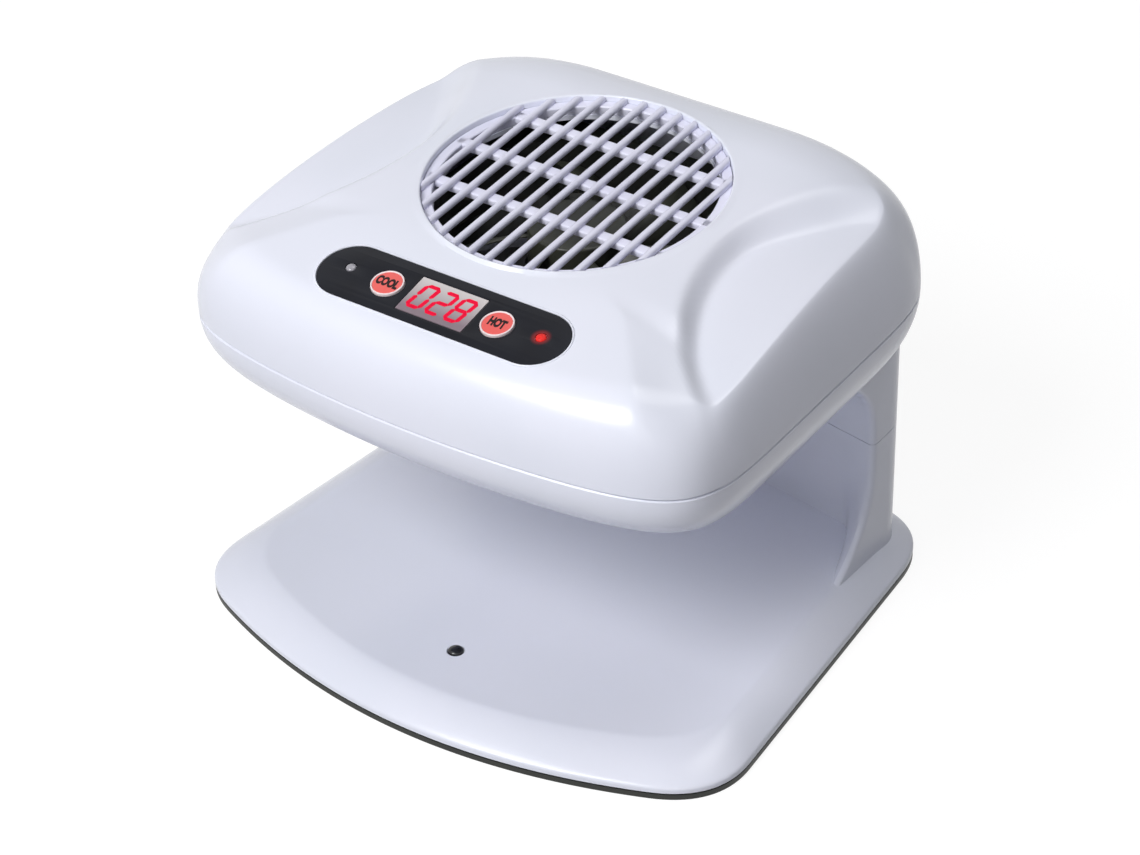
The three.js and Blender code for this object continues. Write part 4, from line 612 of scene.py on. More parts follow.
def base_outline(inset):
    front = inset - BASE_DEPTH / 2
    back = BASE_DEPTH / 2 - inset
    half = BASE_WIDTH / 2 - inset
    front_line = front + BASE_FRONT_BOW
    back_line = back - BASE_BACK_BOW
    taper = BASE_SIDE_TAPER / (back_line - front_line)
    bend_start = half - BASE_FRONT_CORNER
    bend_y = front + BASE_FRONT_BOW * (bend_start / half) ** 2
    bend_slope = 2 * BASE_FRONT_BOW * bend_start / half ** 2
    corner_x = (half - taper * (bend_y - bend_slope * bend_start - front_line)) / (1 + taper * bend_slope)
    corner_y = bend_y + bend_slope * (corner_x - bend_start)

    def side_at(y):
        return half - taper * (y - front_line)

    side_start = [side_at(corner_y + BASE_FRONT_CORNER), corner_y + BASE_FRONT_CORNER]
    side_end = [side_at(back_line - BASE_BACK_CORNER), back_line - BASE_BACK_CORNER]
    side_middle = [mix(a, b, 0.5) for a, b in zip(side_start, side_end)]
    back_corner = [side_at(back_line), back_line]
    rear = [back_corner[0] - BASE_BACK_CORNER, back_line]
    bend = [bend_start, bend_y]
    return mirrored([
        [0, front],
        *curve_points([0, front], [bend_start / 2, front], bend, BASE_FRONT_STEPS),
        *curve_points(bend, [corner_x, corner_y], side_start, BASE_FRONT_CORNER_STEPS),
        *curve_points(side_start, side_middle, side_end, BASE_SIDE_STEPS),
        *curve_points(side_end, back_corner, rear, BASE_BACK_CORNER_STEPS),
        *curve_points(rear, [rear[0] / 2, back], [0, back], BASE_BACK_STEPS),
    ])


def base_ring(inset, z):
    return at_height(base_outline(inset), z)


def bevel_height(inset):
    """Height of the sloping border at an inset from the rim"""
    share = inset / BASE_BEVEL
    return RIM_TOP + (BASE_TOP - RIM_TOP) * share + 4 * BASE_BEVEL_CROWN * share * (1 - share)


def base_rings():
    rim = [0, RIM_TOP - RIM_ROUND]
    insets = [mix(RIM_ROUND, BASE_BEVEL, share) for share in shares(BEVEL_RINGS)]
    border = [[inset, bevel_height(inset)] for inset in insets]
    profile = [
        (BASE_BEVEL + BASE_WALL / 2, BASE_TOP - BASE_WALL),
        (BASE_WALL, RIM_TOP - BASE_WALL / 2),
        (BASE_WALL, SHELL_BOTTOM),
        (RIM_FOOT_ROUND, SHELL_BOTTOM),
        (0, SHELL_BOTTOM + RIM_FOOT_ROUND),
        rim,
        *curve_points(rim, [0, RIM_TOP], border[0], RIM_STEPS),
        *border[1:],
        (BASE_BEVEL + TOP_MARGIN / 2, BASE_TOP),
        (BASE_BEVEL + TOP_MARGIN, BASE_TOP),
    ]
    return [base_ring(inset, z) for inset, z in profile]


# Column
def head_sweep(height):
    drop = (min(height, HEAD_UNDERSIDE) - (HEAD_UNDERSIDE - WING_HEAD_DROP)) / WING_HEAD_DROP
    return WING_HEAD_SWEEP * power(drop, WING_HEAD_CURVE)


def edge_y(height):
    foot = WING_FOOT_SWEEP * power(1 - (height - BASE_TOP) / WING_FOOT_RISE, WING_FOOT_CURVE)
    return BACK - COLUMN_EDGE - foot - head_sweep(height)


def inner_wall_y(x, height):
    bow = COLUMN_INNER_BOW * (x / COLUMN_HALF_WIDTH) ** 2
    lean = COLUMN_LEAN * (height - BASE_TOP)
    return BACK - COLUMN_INNER - bow - lean - COLUMN_ARCH_SHARE * head_sweep(height)


def inner_y(x, height):
    swing = smooth((abs(x) - COLUMN_HALF_WIDTH + WING_WIDTH) / WING_WIDTH)
    return inner_wall_y(x, height) + swing * (edge_y(height) - inner_wall_y(COLUMN_HALF_WIDTH, height))


def column_back_y(x):
    return BACK - COLUMN_BACK - COLUMN_BACK_BOW * (x / COLUMN_HALF_WIDTH) ** 2


WALL_STEPS = 14
WING_STEPS = 14
WING_EDGE_STEPS = 6
COLUMN_SIDE_STEPS = 6
COLUMN_CORNER_STEPS = 8
COLUMN_BACK_STEPS = 10


def column_section(height, wall):
    half = COLUMN_HALF_WIDTH - wall
    inset = COLUMN_WALL_SLANT * wall
    corner_y = column_back_y(COLUMN_HALF_WIDTH) - wall
    bend = half - COLUMN_CORNER
    start = half - WING_WIDTH
    edge = half - WING_EDGE_ROUND
    across = [mix(0, start, share) for share in shares(WALL_STEPS)]
    across += [mix(start, edge, share) for share in shares(WING_STEPS)[1:]]
    points = [[x, inner_y(x, height) + inset] for x in across]
    lead = points[-1][1]
    side = [half, lead + WING_EDGE_ROUND]
    corner = [half, corner_y - COLUMN_CORNER]
    rear = [bend, column_back_y(bend) - wall]
    points += curve_points(points[-1], [half, lead], side, WING_EDGE_STEPS)
    points += curve_points(side, [half, (side[1] + corner[1]) / 2], corner, COLUMN_SIDE_STEPS)
    points += curve_points(corner, [half, corner_y], rear, COLUMN_CORNER_STEPS)
    inward = [bend * (1 - share) for share in shares(COLUMN_BACK_STEPS)[1:]]
    points += [[x, column_back_y(x) - wall] for x in inward]
    return at_height(mirrored(points), height)


def column_between(name, low, high, wall=0):
    return skin(name, [column_section(mix(low, high, share), wall) for share in shares(COLUMN_RINGS)])


def pairs_from(place_shares, half_width, half_depth, middle=0):
    return [(side * across * half_width, middle + along * half_depth)
            for across, along in place_shares for side in (-1, 1)]


def along_back():
    return moved(0, column_back_y(0), GLAND_HEIGHT) @ Matrix.Rotation(-math.pi / 2, 4, "X")


def make_base():
    base = skin("base_moulding", base_rings())
    join(base, column_between("column", RIM_TOP, COLUMN_SPLIT - GAP / 2))
    cut(base, column_between("hollow", BASE_TOP - BASE_WALL - OVERRUN, COLUMN_SPLIT + OVERRUN, COLUMN_WALL))
    well = SENSOR_RADIUS + GAP
    profile = [(well, 0), (well, BASE_TOP - GAP), (well + GAP, BASE_TOP), (well + GAP, BASE_TOP + OVERRUN)]
    cut(base, lathe("cutter", profile, SMALL_STEPS, place=moved(0, SENSOR_Y)))
    cut(base, rod(GLAND_RADIUS + GAP, -3 * COLUMN_WALL, 2 * COLUMN_WALL, along_back()))
    finish(base, "white", replaces=["base_shell"])


TRAY_INSET = 0.05
TRAY_LIP_WIDTH = 4
TRAY_LIP_FOOT = 0.1


def make_bottom_plate():
    edge = GAP
    seat = FOOT_PROUD + PLATE_SCREW_HEAD
    profile = [
        (TRAY_LIP_WIDTH, FOOT_PROUD),
        (TRAY_LIP_WIDTH, TRAY_LIP_FOOT),
        (TRAY_INSET + edge, TRAY_LIP_FOOT),
        (TRAY_INSET, TRAY_LIP_FOOT + edge),
        (TRAY_INSET, PLATE_TOP),
    ]
    tray = skin("bottom_tray", [base_ring(inset, z) for inset, z in profile])
    for x, y in pairs_from(FOOT_PLACE_SHARES, BASE_WIDTH / 2, BASE_DEPTH / 2):
        cut(tray, rod(FOOT_RADIUS + GAP, -OVERRUN, FOOT_PROUD + FOOT_RECESS, moved(x, y)))
    for x, y in pairs_from(PLATE_SCREW_PLACE_SHARES, BASE_WIDTH / 2, BASE_DEPTH / 2):
        well = [(SCREW_HEAD_WELL, -OVERRUN), (SCREW_HEAD_WELL, seat), (SCREW_HOLE, seat),
                (SCREW_HOLE, PLATE_TOP + OVERRUN)]
        cut(tray, lathe("cutter", well, SMALL_STEPS, place=moved(x, y)))
    finish(tray, "black", replaces=["bottom_plate"])


# Head
def ring_angles(steps=HEAD_STEPS):
    """Angles round the head, closer together at its corners"""
    turns = [2 * math.pi * (step + 0.5) / steps for step in range(steps)]
    return [turn + CORNER_PULL / 4 * math.sin(4 * turn) for turn in turns]


ANGLES = ring_angles()


def head_plan(angle, half_width, half_depth):
    squareness = mix(HEAD_FRONT_SQUARENESS, HEAD_BACK_SQUARENESS, (1 + math.sin(angle)) / 2)
    sides = abs(math.cos(angle)) ** squareness + abs(math.sin(angle)) ** squareness
    reach = sides ** (-1 / squareness)
    across = reach * math.cos(angle)
    along = reach * math.sin(angle)
    narrowed = half_width - HEAD_BACK_TAPER * (1 + along) / 2
    bow = HEAD_FRONT_BOW * (1 - across ** 2) * max(0, -along)
    return across * narrowed, HEAD_Y + along * (half_depth - HEAD_FRONT_BOW / 2) - bow


def roof_height(y):
    return GRILLE_HEIGHT + math.tan(GRILLE_TILT) * (y - GRILLE_Y)


def facet_height(y):
    return PANEL_HEIGHT + math.tan(PANEL_TILT) * (y - PANEL_Y)


def side_fall(x, y):
    """Drop of the roof towards its sides; beside the facet it starts at the facet's edge"""
    rise = GRILLE_HEIGHT - PANEL_HEIGHT + math.tan(PANEL_TILT) * PANEL_Y - math.tan(GRILLE_TILT) * GRILLE_Y
    crease_y = rise / (math.tan(PANEL_TILT) - math.tan(GRILLE_TILT))
    beside = smooth((crease_y + FACET_BLEND / 2 - y) / FACET_BLEND)
    spread = FACET_HALF_WIDTH + FACET_SPREAD * (crease_y - y)
    edge = softer_least(spread, FACET_LIMIT_SHARE * HEAD_WIDTH / 2, FACET_LIMIT_SOFTNESS)
    start = mix(SIDE_FALL_START, edge, beside)
    out = max(0, abs(x) - start) / (HEAD_WIDTH / 2 - start)
    rearward = smooth((y - HEAD_Y - SIDE_REAR_START) / SIDE_REAR_BLEND)
    fall = mix(mix(SIDE_FALL, SIDE_REAR_FALL, rearward), FACET_SIDE_FALL, beside)
    return fall * out ** mix(ROOF_EDGE_POWER, FACET_EDGE_POWER, beside)


def scoop_share(x, y):
    away = math.hypot(SCOOP_X - abs(x), (y - HEAD_Y) / SCOOP_STRETCH)
    rearward = smooth((y - HEAD_Y) / (SCOOP_RADIUS / 2))
    depth_share = mix(1, SCOOP_REAR_DEPTH_SHARE, smooth((y - HEAD_Y - SCOOP_FADE_START) / SCOOP_FADE_LENGTH))
    return depth_share * smooth((SCOOP_RADIUS - away) / mix(SCOOP_STEP, SCOOP_REAR_STEP, rearward))


def scoop_floor(x, y):
    """Nearly level across, and arched from front to back"""
    away = (y - HEAD_Y - SCOOP_CREST) / SCOOP_FALL_LENGTH
    return SCOOP_RIDGE_HEIGHT + SCOOP_FLOOR_SLOPE * (HEAD_WIDTH / 2 - abs(x)) - SCOOP_FALL * away ** 2


def crown_height(x, y):
    """Height of the top before the shoulder rolls over"""
    roof = roof_height(y)
    facet = facet_height(y)
    rear_fall = REAR_FALL * (max(0, y - REAR_FALL_START) / (HEAD_BACK - REAR_FALL_START)) ** 2
    creased = softer_least(roof, facet, CREASE_SOFTNESS)
    roofline = creased - rear_fall - side_fall(x, y)
    return mix(roofline, min(roofline, scoop_floor(x, y)), scoop_share(x, y))


def round_outline(angle, side, front, back, ridge):
    """A value on the outline, from its ends to its sides and the ridge beside the scoops"""
    plain = mix(side, front if math.sin(angle) < 0 else back, math.sin(angle) ** 2)
    away = abs(head_plan(angle, HEAD_WIDTH / 2, HEAD_DEPTH / 2)[1] - HEAD_Y + RIDGE_SHIFT)
    return mix(plain, ridge, smooth((RIDGE_REACH - away) / RIDGE_BLEND))


def shoulder_ring(turn, wall):
    """The shoulder's ring at a turn from 0, its start, to 1, the seam"""
    across = turn * math.pi / 2
    ring = []
    for angle in ANGLES:
        ridge = mix(RIDGE_FRONT_SHARE, RIDGE_BACK_SHARE, (1 + math.sin(angle)) / 2)
        start = round_outline(angle, SHOULDER_SIDE_SHARE, SHOULDER_FRONT_SHARE, SHOULDER_BACK_SHARE, ridge)
        exponent = 2 / round_outline(angle, SHOULDER_SIDE_ROUND, SHOULDER_FRONT_ROUND, SHOULDER_BACK_ROUND,
                                     RIDGE_ROUND)
        share = mix(start, 1, power(math.sin(across), exponent))
        swell = HEAD_BULGE * math.sin(2 * across)
        width = HEAD_WIDTH / 2 - wall
        depth = HEAD_DEPTH / 2 - wall
        x, y = head_plan(angle, share * width + swell, share * depth + swell)
        rise = 0 if turn == 1 else power(math.cos(across), exponent)
        ring.append((x, y, mix(HEAD_SEAM, crown_height(x, y) - wall, rise)))
    return ring


def grille_ring(radius, depth):
    """A circle about the grille's axis, at a depth under its face"""
    return [tuple(GRILLE_FRAME @ Vector(point)) for point in ring_about(radius, -depth, ANGLES)]


def roof_ring(turn, wall, start_radius):
    inner = grille_ring(start_radius, wall)
    if turn == 0:
        return inner
    rim = shoulder_ring(0, wall)
    ring = []
    for start, end in zip(inner, rim):
        x = mix(start[0], end[0], turn)
        y = mix(start[1], end[1], turn)
        ring.append((x, y, crown_height(x, y) - wall))
    return ring


GRILLE_RIM_ROUND = 0.9
GRILLE_RIM_STEPS = 4
SEAM_ROUND = 0.5
INNER_RINGS = 8


def upper_cover_rings():
    start = GRILLE_RADIUS + GRILLE_RIM_ROUND
    rim = [GRILLE_RADIUS, GRILLE_RIM_ROUND]
    opening = [
        (GRILLE_RADIUS + HEAD_WALL, GRILLE_SEAT + GRILLE_SHELF),
        (GRILLE_RADIUS - GRILLE_SHELF_WIDTH, GRILLE_SEAT + GRILLE_SHELF),
        (GRILLE_RADIUS - GRILLE_SHELF_WIDTH, GRILLE_SEAT),
        (GRILLE_RADIUS, GRILLE_SEAT),
        rim,
        *curve_points(rim, [GRILLE_RADIUS, 0], [start, 0], GRILLE_RIM_STEPS),
    ]
    rings = [grille_ring(radius, depth) for radius, depth in opening]
    rings += [roof_ring(share, 0, start) for share in shares(ROOF_RINGS)[1:]]
    rings += [shoulder_ring(share, 0) for share in shares(SHOULDER_RINGS)[1:-1]]
    seam = shoulder_ring(1, 0)
    inset = shoulder_ring(1, SEAM_ROUND)
    low = HEAD_SEAM + GAP / 2
    rings += [at_height(seam, low + SEAM_ROUND), at_height(inset, low)]
    rings.append(at_height(shoulder_ring(1, HEAD_WALL), low))
    rings += [shoulder_ring(1 - share, HEAD_WALL) for share in shares(INNER_RINGS)[1:]]
    rings += [roof_ring(1 - share, HEAD_WALL, GRILLE_RADIUS + HEAD_WALL) for share in shares(INNER_RINGS)[1:]]
    return rings


def stadium(length, width, steps=24):
    half = length / 2 - width / 2
    points = []
    for side in (1, -1):
        for share in shares(steps):
            angle = math.pi * (share - 0.5)
            points.append((side * (half + width / 2 * math.cos(angle)), side * width / 2 * math.sin(angle)))
    return points


def rectangle(length, width, corner, steps=5):
    """A rectangle's outline with rounded corners"""
    points = []
    for quarter, (across, along) in enumerate([(1, 1), (-1, 1), (-1, -1), (1, -1)]):
        for turn in [(quarter + share) * math.pi / 2 for share in shares(steps)]:
            points.append((across * (length / 2 - corner) + corner * math.cos(turn),
                           along * (width / 2 - corner) + corner * math.sin(turn)))
    return points


PANEL_CHAMFER = 0.45


def cut_panel(cover):
    """The pocket for the panel, with a lightly broken edge, and the openings through its floor"""
    floor = -PANEL_THICKNESS - GAP
    wide = stadium(PANEL_LENGTH + 2 * PANEL_CHAMFER, PANEL_WIDTH + 2 * PANEL_CHAMFER)
    pocket = [
        at_height(stadium(PANEL_LENGTH, PANEL_WIDTH), floor),
        at_height(stadium(PANEL_LENGTH, PANEL_WIDTH), -PANEL_CHAMFER),
        at_height(wide, 0),
        at_height(wide, HEAD_WALL),
    ]
    cut(cover, skin("cutter", pocket, place=PANEL_FRAME))
    deep = -3 * HEAD_WALL
    display = rectangle(DISPLAY_LENGTH + 2 * GAP, DISPLAY_WIDTH + 2 * GAP, GAP)
    cut(cover, skin("cutter", [at_height(display, deep), at_height(display, 0)], place=PANEL_FRAME))
    for side in (-1, 1):
        button = PANEL_FRAME @ moved(side * BUTTON_X)
        cut(cover, rod(BUTTON_RADIUS + GAP, deep, 0, button))
        lamp = PANEL_FRAME @ moved(side * LAMP_X, LAMP_SHIFT)
        cut(cover, rod(LAMP_RADIUS + GAP, deep, 0, lamp))


def make_upper_cover():
    cover = skin("head_cover", upper_cover_rings(), closed=True)
    cut_panel(cover)
    finish(cover, "white", sharp=COVER_SHARP_ANGLE, replaces=["upper_cover"])


def bowl_ring(turn, wall):
    down = turn * math.pi / 2
    tuck = 1 - math.cos(down)
    width = HEAD_WIDTH / 2 - wall - tuck * HEAD_SIDE_TUCK
    depth = HEAD_DEPTH / 2 - wall - tuck * HEAD_END_TUCK
    z = HEAD_SEAM - GAP / 2 - (HEAD_SEAM - HEAD_UNDERSIDE - wall) * math.sin(down)
    return [(*head_plan(angle, width, depth), z) for angle in ANGLES]


def outlet_ring(radius, height):
    return [(x, GRILLE_Y + y, z) for x, y, z in ring_about(radius, height, ANGLES)]


def bowl_rings():
    edge = HEAD_SEAM - GAP / 2
    rings = [at_height(bowl_ring(0, SEAM_ROUND), edge), at_height(bowl_ring(0, 0), edge - SEAM_ROUND)]
    rings += [bowl_ring(share, 0) for share in shares(BOWL_RINGS)[1:-1]]
    rings += [at_height(bowl_ring(1, 0), HEAD_UNDERSIDE), at_height(bowl_ring(1, TOP_MARGIN), HEAD_UNDERSIDE)]
    rings += [
        outlet_ring(OUTLET_RADIUS + SEAM_ROUND, HEAD_UNDERSIDE),
        outlet_ring(OUTLET_RADIUS, HEAD_UNDERSIDE + SEAM_ROUND),
        outlet_ring(OUTLET_RADIUS, HEAD_FLOOR),
    ]
    inner = [bowl_ring(1 - share, HEAD_WALL) for share in shares(INNER_RINGS)]
    rings += [at_height(inner[0], HEAD_FLOOR), *inner[1:-1], at_height(inner[-1], edge)]
    return rings


def bowl_space():
    rings = [bowl_ring(share, HEAD_WALL) for share in shares(INNER_RINGS)]
    rings[0] = at_height(rings[0], HEAD_SEAM + OVERRUN)
    rings[-1] = at_height(rings[-1], HEAD_FLOOR)
    return skin("space", rings)


def make_lower_cover():
    top = mix(HEAD_UNDERSIDE, HEAD_SEAM, COLUMN_TOP_SHARE)
    column = column_between("column", COLUMN_SPLIT + GAP / 2, top)
    cut(column, bowl_space())
    outlet_low = HEAD_UNDERSIDE - WING_HEAD_DROP
    cut(column, rod(OUTLET_RADIUS, outlet_low, HEAD_FLOOR + OVERRUN, moved(0, GRILLE_Y), ROUND_STEPS))
    cover = skin("head_bowl", bowl_rings(), closed=True)
    join(cover, column)
    cut(cover, column_between("hollow", COLUMN_SPLIT - OVERRUN, top - HEAD_WALL, COLUMN_WALL))
    for x, y in pairs_from(HEAD_BOSS_PLACE_SHARES, HEAD_WIDTH / 2, HEAD_DEPTH / 2, HEAD_Y):
        seat = HEAD_UNDERSIDE + HEAD_SCREW_SEAT
        cut(cover, rod(SCREW_HEAD_WELL, HEAD_UNDERSIDE - OVERRUN, seat, moved(x, y)))
    finish(cover, "white", sharp=COVER_SHARP_ANGLE, replaces=["lower_cover"])


# Inlet grille
def fin_profile(half, depth):
    """Half-round above and below"""
    turns = [math.pi * (1 - share) for share in shares(FIN_STEPS)]
    points = [(half * math.cos(turn), half * math.sin(turn) - half) for turn in turns]
    return points + [(-x, -depth - z) for x, z in points]


def make_inlet_grille():
    body = bmesh.new()
    rim = GRILLE_RADIUS - GAP
    half = GRILLE_FIN_WIDTH / 2
    for middle in row(GRILLE_FINS, GRILLE_FIN_PITCH):
        fin = [(middle + x, z) for x, z in fin_profile(half, GRILLE_FIN_DEPTH)]
        ends = [[(x, side * math.sqrt(rim ** 2 - x ** 2), z) for x, z in fin] for side in (-1, 1)]
        add_rings(body, ends, place=GRILLE_FRAME)
    low = GRILLE_BAR_RAISE - GRILLE_DEPTH
    height = (low - GRILLE_RECESS) / 2
    reach = rim - GRILLE_BAR_INSET
    section = rectangle(GRILLE_BAR_WIDTH, -GRILLE_RECESS - low, GRILLE_BAR_ROUND)
    for middle in row(GRILLE_BARS, GRILLE_BAR_PITCH):
        bar = [(GRILLE_BAR_SHIFT + middle + y, height + z) for y, z in section]
        ends = [[(side * math.sqrt(reach ** 2 - y ** 2), y, z) for y, z in bar] for side in (-1, 1)]
        add_rings(body, ends, place=GRILLE_FRAME)
    ledge = rim - GRILLE_LEDGE
    ring = [(ledge, -GRILLE_DEPTH), (rim, -GRILLE_DEPTH), (rim, -GRILLE_RECESS),
            (ledge + GRILLE_LEDGE_EDGE, -GRILLE_RECESS), (ledge, -GRILLE_RECESS - GRILLE_LEDGE_EDGE)]
    add_rings(body, lathe_rings(ring, LEDGE_STEPS), True, GRILLE_FRAME)
    grille = from_bmesh("inlet_fins", body)
    finish(grille, "grille", replaces=["inlet_grille"])


# Fan rotor
def blade_rings(start, height):
    rings = []
    for share in shares(BLADE_RINGS):
        radius = mix(HUB_RADIUS - HUB_WALL / 2, ROTOR_RADIUS, share)
        pitch = mix(BLADE_ROOT_PITCH, BLADE_TIP_PITCH, share)
        chord = (height - BLADE_CAMBER - BLADE_THICKNESS) / math.sin(pitch)
        under = []
        over = []
        for step in shares(BLADE_STEPS):
            along = step - 0.5
            camber = BLADE_CAMBER * (1 - (2 * along) ** 2)
            thick = BLADE_THICKNESS / 2 * math.sqrt(max(BLADE_EDGE_SHARE, 1 - (2 * along) ** 4))
            angle = start + share * BLADE_SWEEP + along * chord * math.cos(pitch) / radius
            z = along * chord * math.sin(pitch) + camber
            spot = (radius * math.cos(angle), radius * math.sin(angle))
            under.append((*spot, z - thick))
            over.append((*spot, z + thick))
        rings.append(under + over[::-1])
    return rings


def make_rotor():
    low = FAN_SEAT + 2 * GAP
    high = low + HUB_HEIGHT
    inner = HUB_RADIUS - HUB_WALL
    edge = [HUB_RADIUS, high - HUB_ROUND]
    profile = [
        (AXIS_RADIUS, FAN_SEAT),
        (FAN_SHAFT_RADIUS, FAN_SEAT),
        (FAN_SHAFT_RADIUS, high - HUB_WALL),
        (inner, high - HUB_WALL),
        (inner, low),
        (HUB_RADIUS, low),
        edge,
        *curve_points(edge, [HUB_RADIUS, high], [HUB_RADIUS - HUB_ROUND, high], HUB_EDGE_STEPS),
        (AXIS_RADIUS, high),
    ]
    place = moved(0, GRILLE_Y, FAN_BOTTOM)
    body = bmesh.new()
    add_rings(body, lathe_rings(profile, TURNED_STEPS), place=place)
    middle = (low + high - BLADE_CAMBER) / 2
    for blade in range(BLADES):
        rings = blade_rings(2 * math.pi * blade / BLADES, BLADE_HEIGHT_SHARE * HUB_HEIGHT)
        add_rings(body, rings, place=place @ moved(0, 0, middle))
    rotor = from_bmesh("fan_wheel", body)
    finish(rotor, "fan", body="rotor", replaces=["fan_rotor"])


# Control panel
PLATE_EDGE_STEPS = 2


def plate(name, outlines, thickness, edge):
    """A flat plate under the panel's plane, from its outline and its holes, with rounded edges"""
    curve = bpy.data.curves.new(name, "CURVE")
    curve.dimensions = "2D"
    curve.fill_mode = "BOTH"
    curve.extrude = (thickness / 2 - edge) * MM
    curve.bevel_depth = edge * MM
    curve.bevel_resolution = PLATE_EDGE_STEPS
    curve.offset = -edge * MM
    for outline in outlines:
        spline = curve.splines.new("POLY")
        spline.points.add(len(outline) - 1)
        for point, (x, y) in zip(spline.points, outline):
            point.co = (x * MM, y * MM, 0, 1)
        spline.use_cyclic_u = True
    body = bmesh.new()
    body.from_mesh(curve_mesh(curve, PANEL_FRAME @ moved(0, 0, -thickness / 2)))
    bmesh.ops.remove_doubles(body, verts=body.verts, dist=SAME_POINT * MM)
    return from_bmesh(name, body)


def circle(radius, x=0, y=0, steps=SMALL_STEPS):
    return [(x + radius * math.cos(turn), y + radius * math.sin(turn)) for turn in angles_round(steps)]


def make_label():
    outlines = [
        stadium(PANEL_LENGTH - 2 * GAP, PANEL_WIDTH - 2 * GAP),
        rectangle(DISPLAY_LENGTH + 2 * GAP, DISPLAY_WIDTH + 2 * GAP, GAP),
    ]
    for side in (-1, 1):
        outlines.append(circle(BUTTON_RADIUS + GAP, side * BUTTON_X))
        outlines.append(circle(LAMP_RADIUS + GAP, side * LAMP_X, LAMP_SHIFT))
    label = plate("panel_face", outlines, PANEL_THICKNESS, PANEL_EDGE)
    finish(label, "label", replaces=["panel_label"])


# Rim of the panel's pocket: distances outside the pocket's wall, and heights over the panel's face
BEAD_PROFILE = [
    (-0.1, -0.6), (-0.1, 0.12), (0.05, 0.28), (0.3, 0.3), (0.55, 0.14), (0.75, -0.25), (0.75, -0.6),
]


def make_panel_bead():
    rings = [at_height(stadium(PANEL_LENGTH + 2 * outside, PANEL_WIDTH + 2 * outside), height)
             for outside, height in BEAD_PROFILE]
    bead = skin("panel_bead", rings, closed=True, place=PANEL_FRAME)
    finish(bead, "white", sharp=BEAD_SHARP_ANGLE)


def make_window():
    outline = rectangle(DISPLAY_LENGTH, DISPLAY_WIDTH, GAP)
    window = plate("display_pane", [outline], WINDOW_THICKNESS, WINDOW_EDGE)
    finish(window, "window", replaces=["display_window"])


# Seven-segment digits: places of the segments as shares of a digit's half width and half height
SEGMENT_SHARES = {
    "top": ((-1, 1), (1, 1)),
    "middle": ((-1, 0), (1, 0)),
    "bottom": ((-1, -1), (1, -1)),
    "upper_left": ((-1, 0), (-1, 1)),
    "upper_right": ((1, 0), (1, 1)),
    "lower_left": ((-1, -1), (-1, 0)),
    "lower_right": ((1, -1), (1, 0)),
}
DIGIT_SEGMENTS = {
    "0": ["top", "bottom", "upper_left", "upper_right", "lower_left", "lower_right"],
    "2": ["top", "upper_right", "middle", "lower_left", "bottom"],
    "8": list(SEGMENT_SHARES),
}
SHOWN_DIGITS = "028"
DIGIT_PITCH = 8.6
DIGIT_HALF_WIDTH = 2.75
DIGIT_HALF_HEIGHT = 5.9
DIGIT_SLANT = 0.16
SEGMENT_WIDTH = 1.75
SEGMENT_GAP = 0.04
SEGMENT_RISE = 0.08


def segment_outline(start, end):
    """A bar with pointed ends between two corners of a digit"""
    along = Vector((end[0] - start[0], end[1] - start[1])).normalized()
    across = Vector((-along.y, along.x)) * SEGMENT_WIDTH / 2
    first = Vector(start) + along * SEGMENT_GAP
    last = Vector(end) - along * SEGMENT_GAP
    inner = along * SEGMENT_WIDTH / 2
    return [first, first + inner - across, last - inner - across, last, last - inner + across,
            first + inner + across]


def make_digits():
    body = bmesh.new()
    for middle, digit in zip(row(len(SHOWN_DIGITS), DIGIT_PITCH), SHOWN_DIGITS):
        for segment in DIGIT_SEGMENTS[digit]:
            ends = [(x * DIGIT_HALF_WIDTH, y * DIGIT_HALF_HEIGHT) for x, y in SEGMENT_SHARES[segment]]
            outline = [(middle + p.x + DIGIT_SLANT * p.y, p.y) for p in segment_outline(*ends)]
            rings = [at_height(outline, -GAP), at_height(outline, SEGMENT_RISE)]
            add_rings(body, rings, place=PANEL_FRAME)
    digits = from_bmesh("display_digits", body)
    finish(digits, "digit")


WORD_SIZE = 5.6
WORD_WIDTH_SHARE = 0.6
WORD_WEIGHT_SHARE = 0.06
WORD_RISE = 0.06
WORD_LEAN = -0.08


def make_word(name, text, place, body):
    """A word lying on a surface, a little proud of it"""
    curve = bpy.data.curves.new(name, "FONT")
    curve.body = text
    curve.size = WORD_SIZE * MM
    curve.align_x = "CENTER"
    curve.align_y = "CENTER"
    curve.offset = WORD_WEIGHT_SHARE * WORD_SIZE * MM
    curve.extrude = WORD_RISE * MM
    finish(new_object(name, curve_mesh(curve, place)), "ink", body=body)


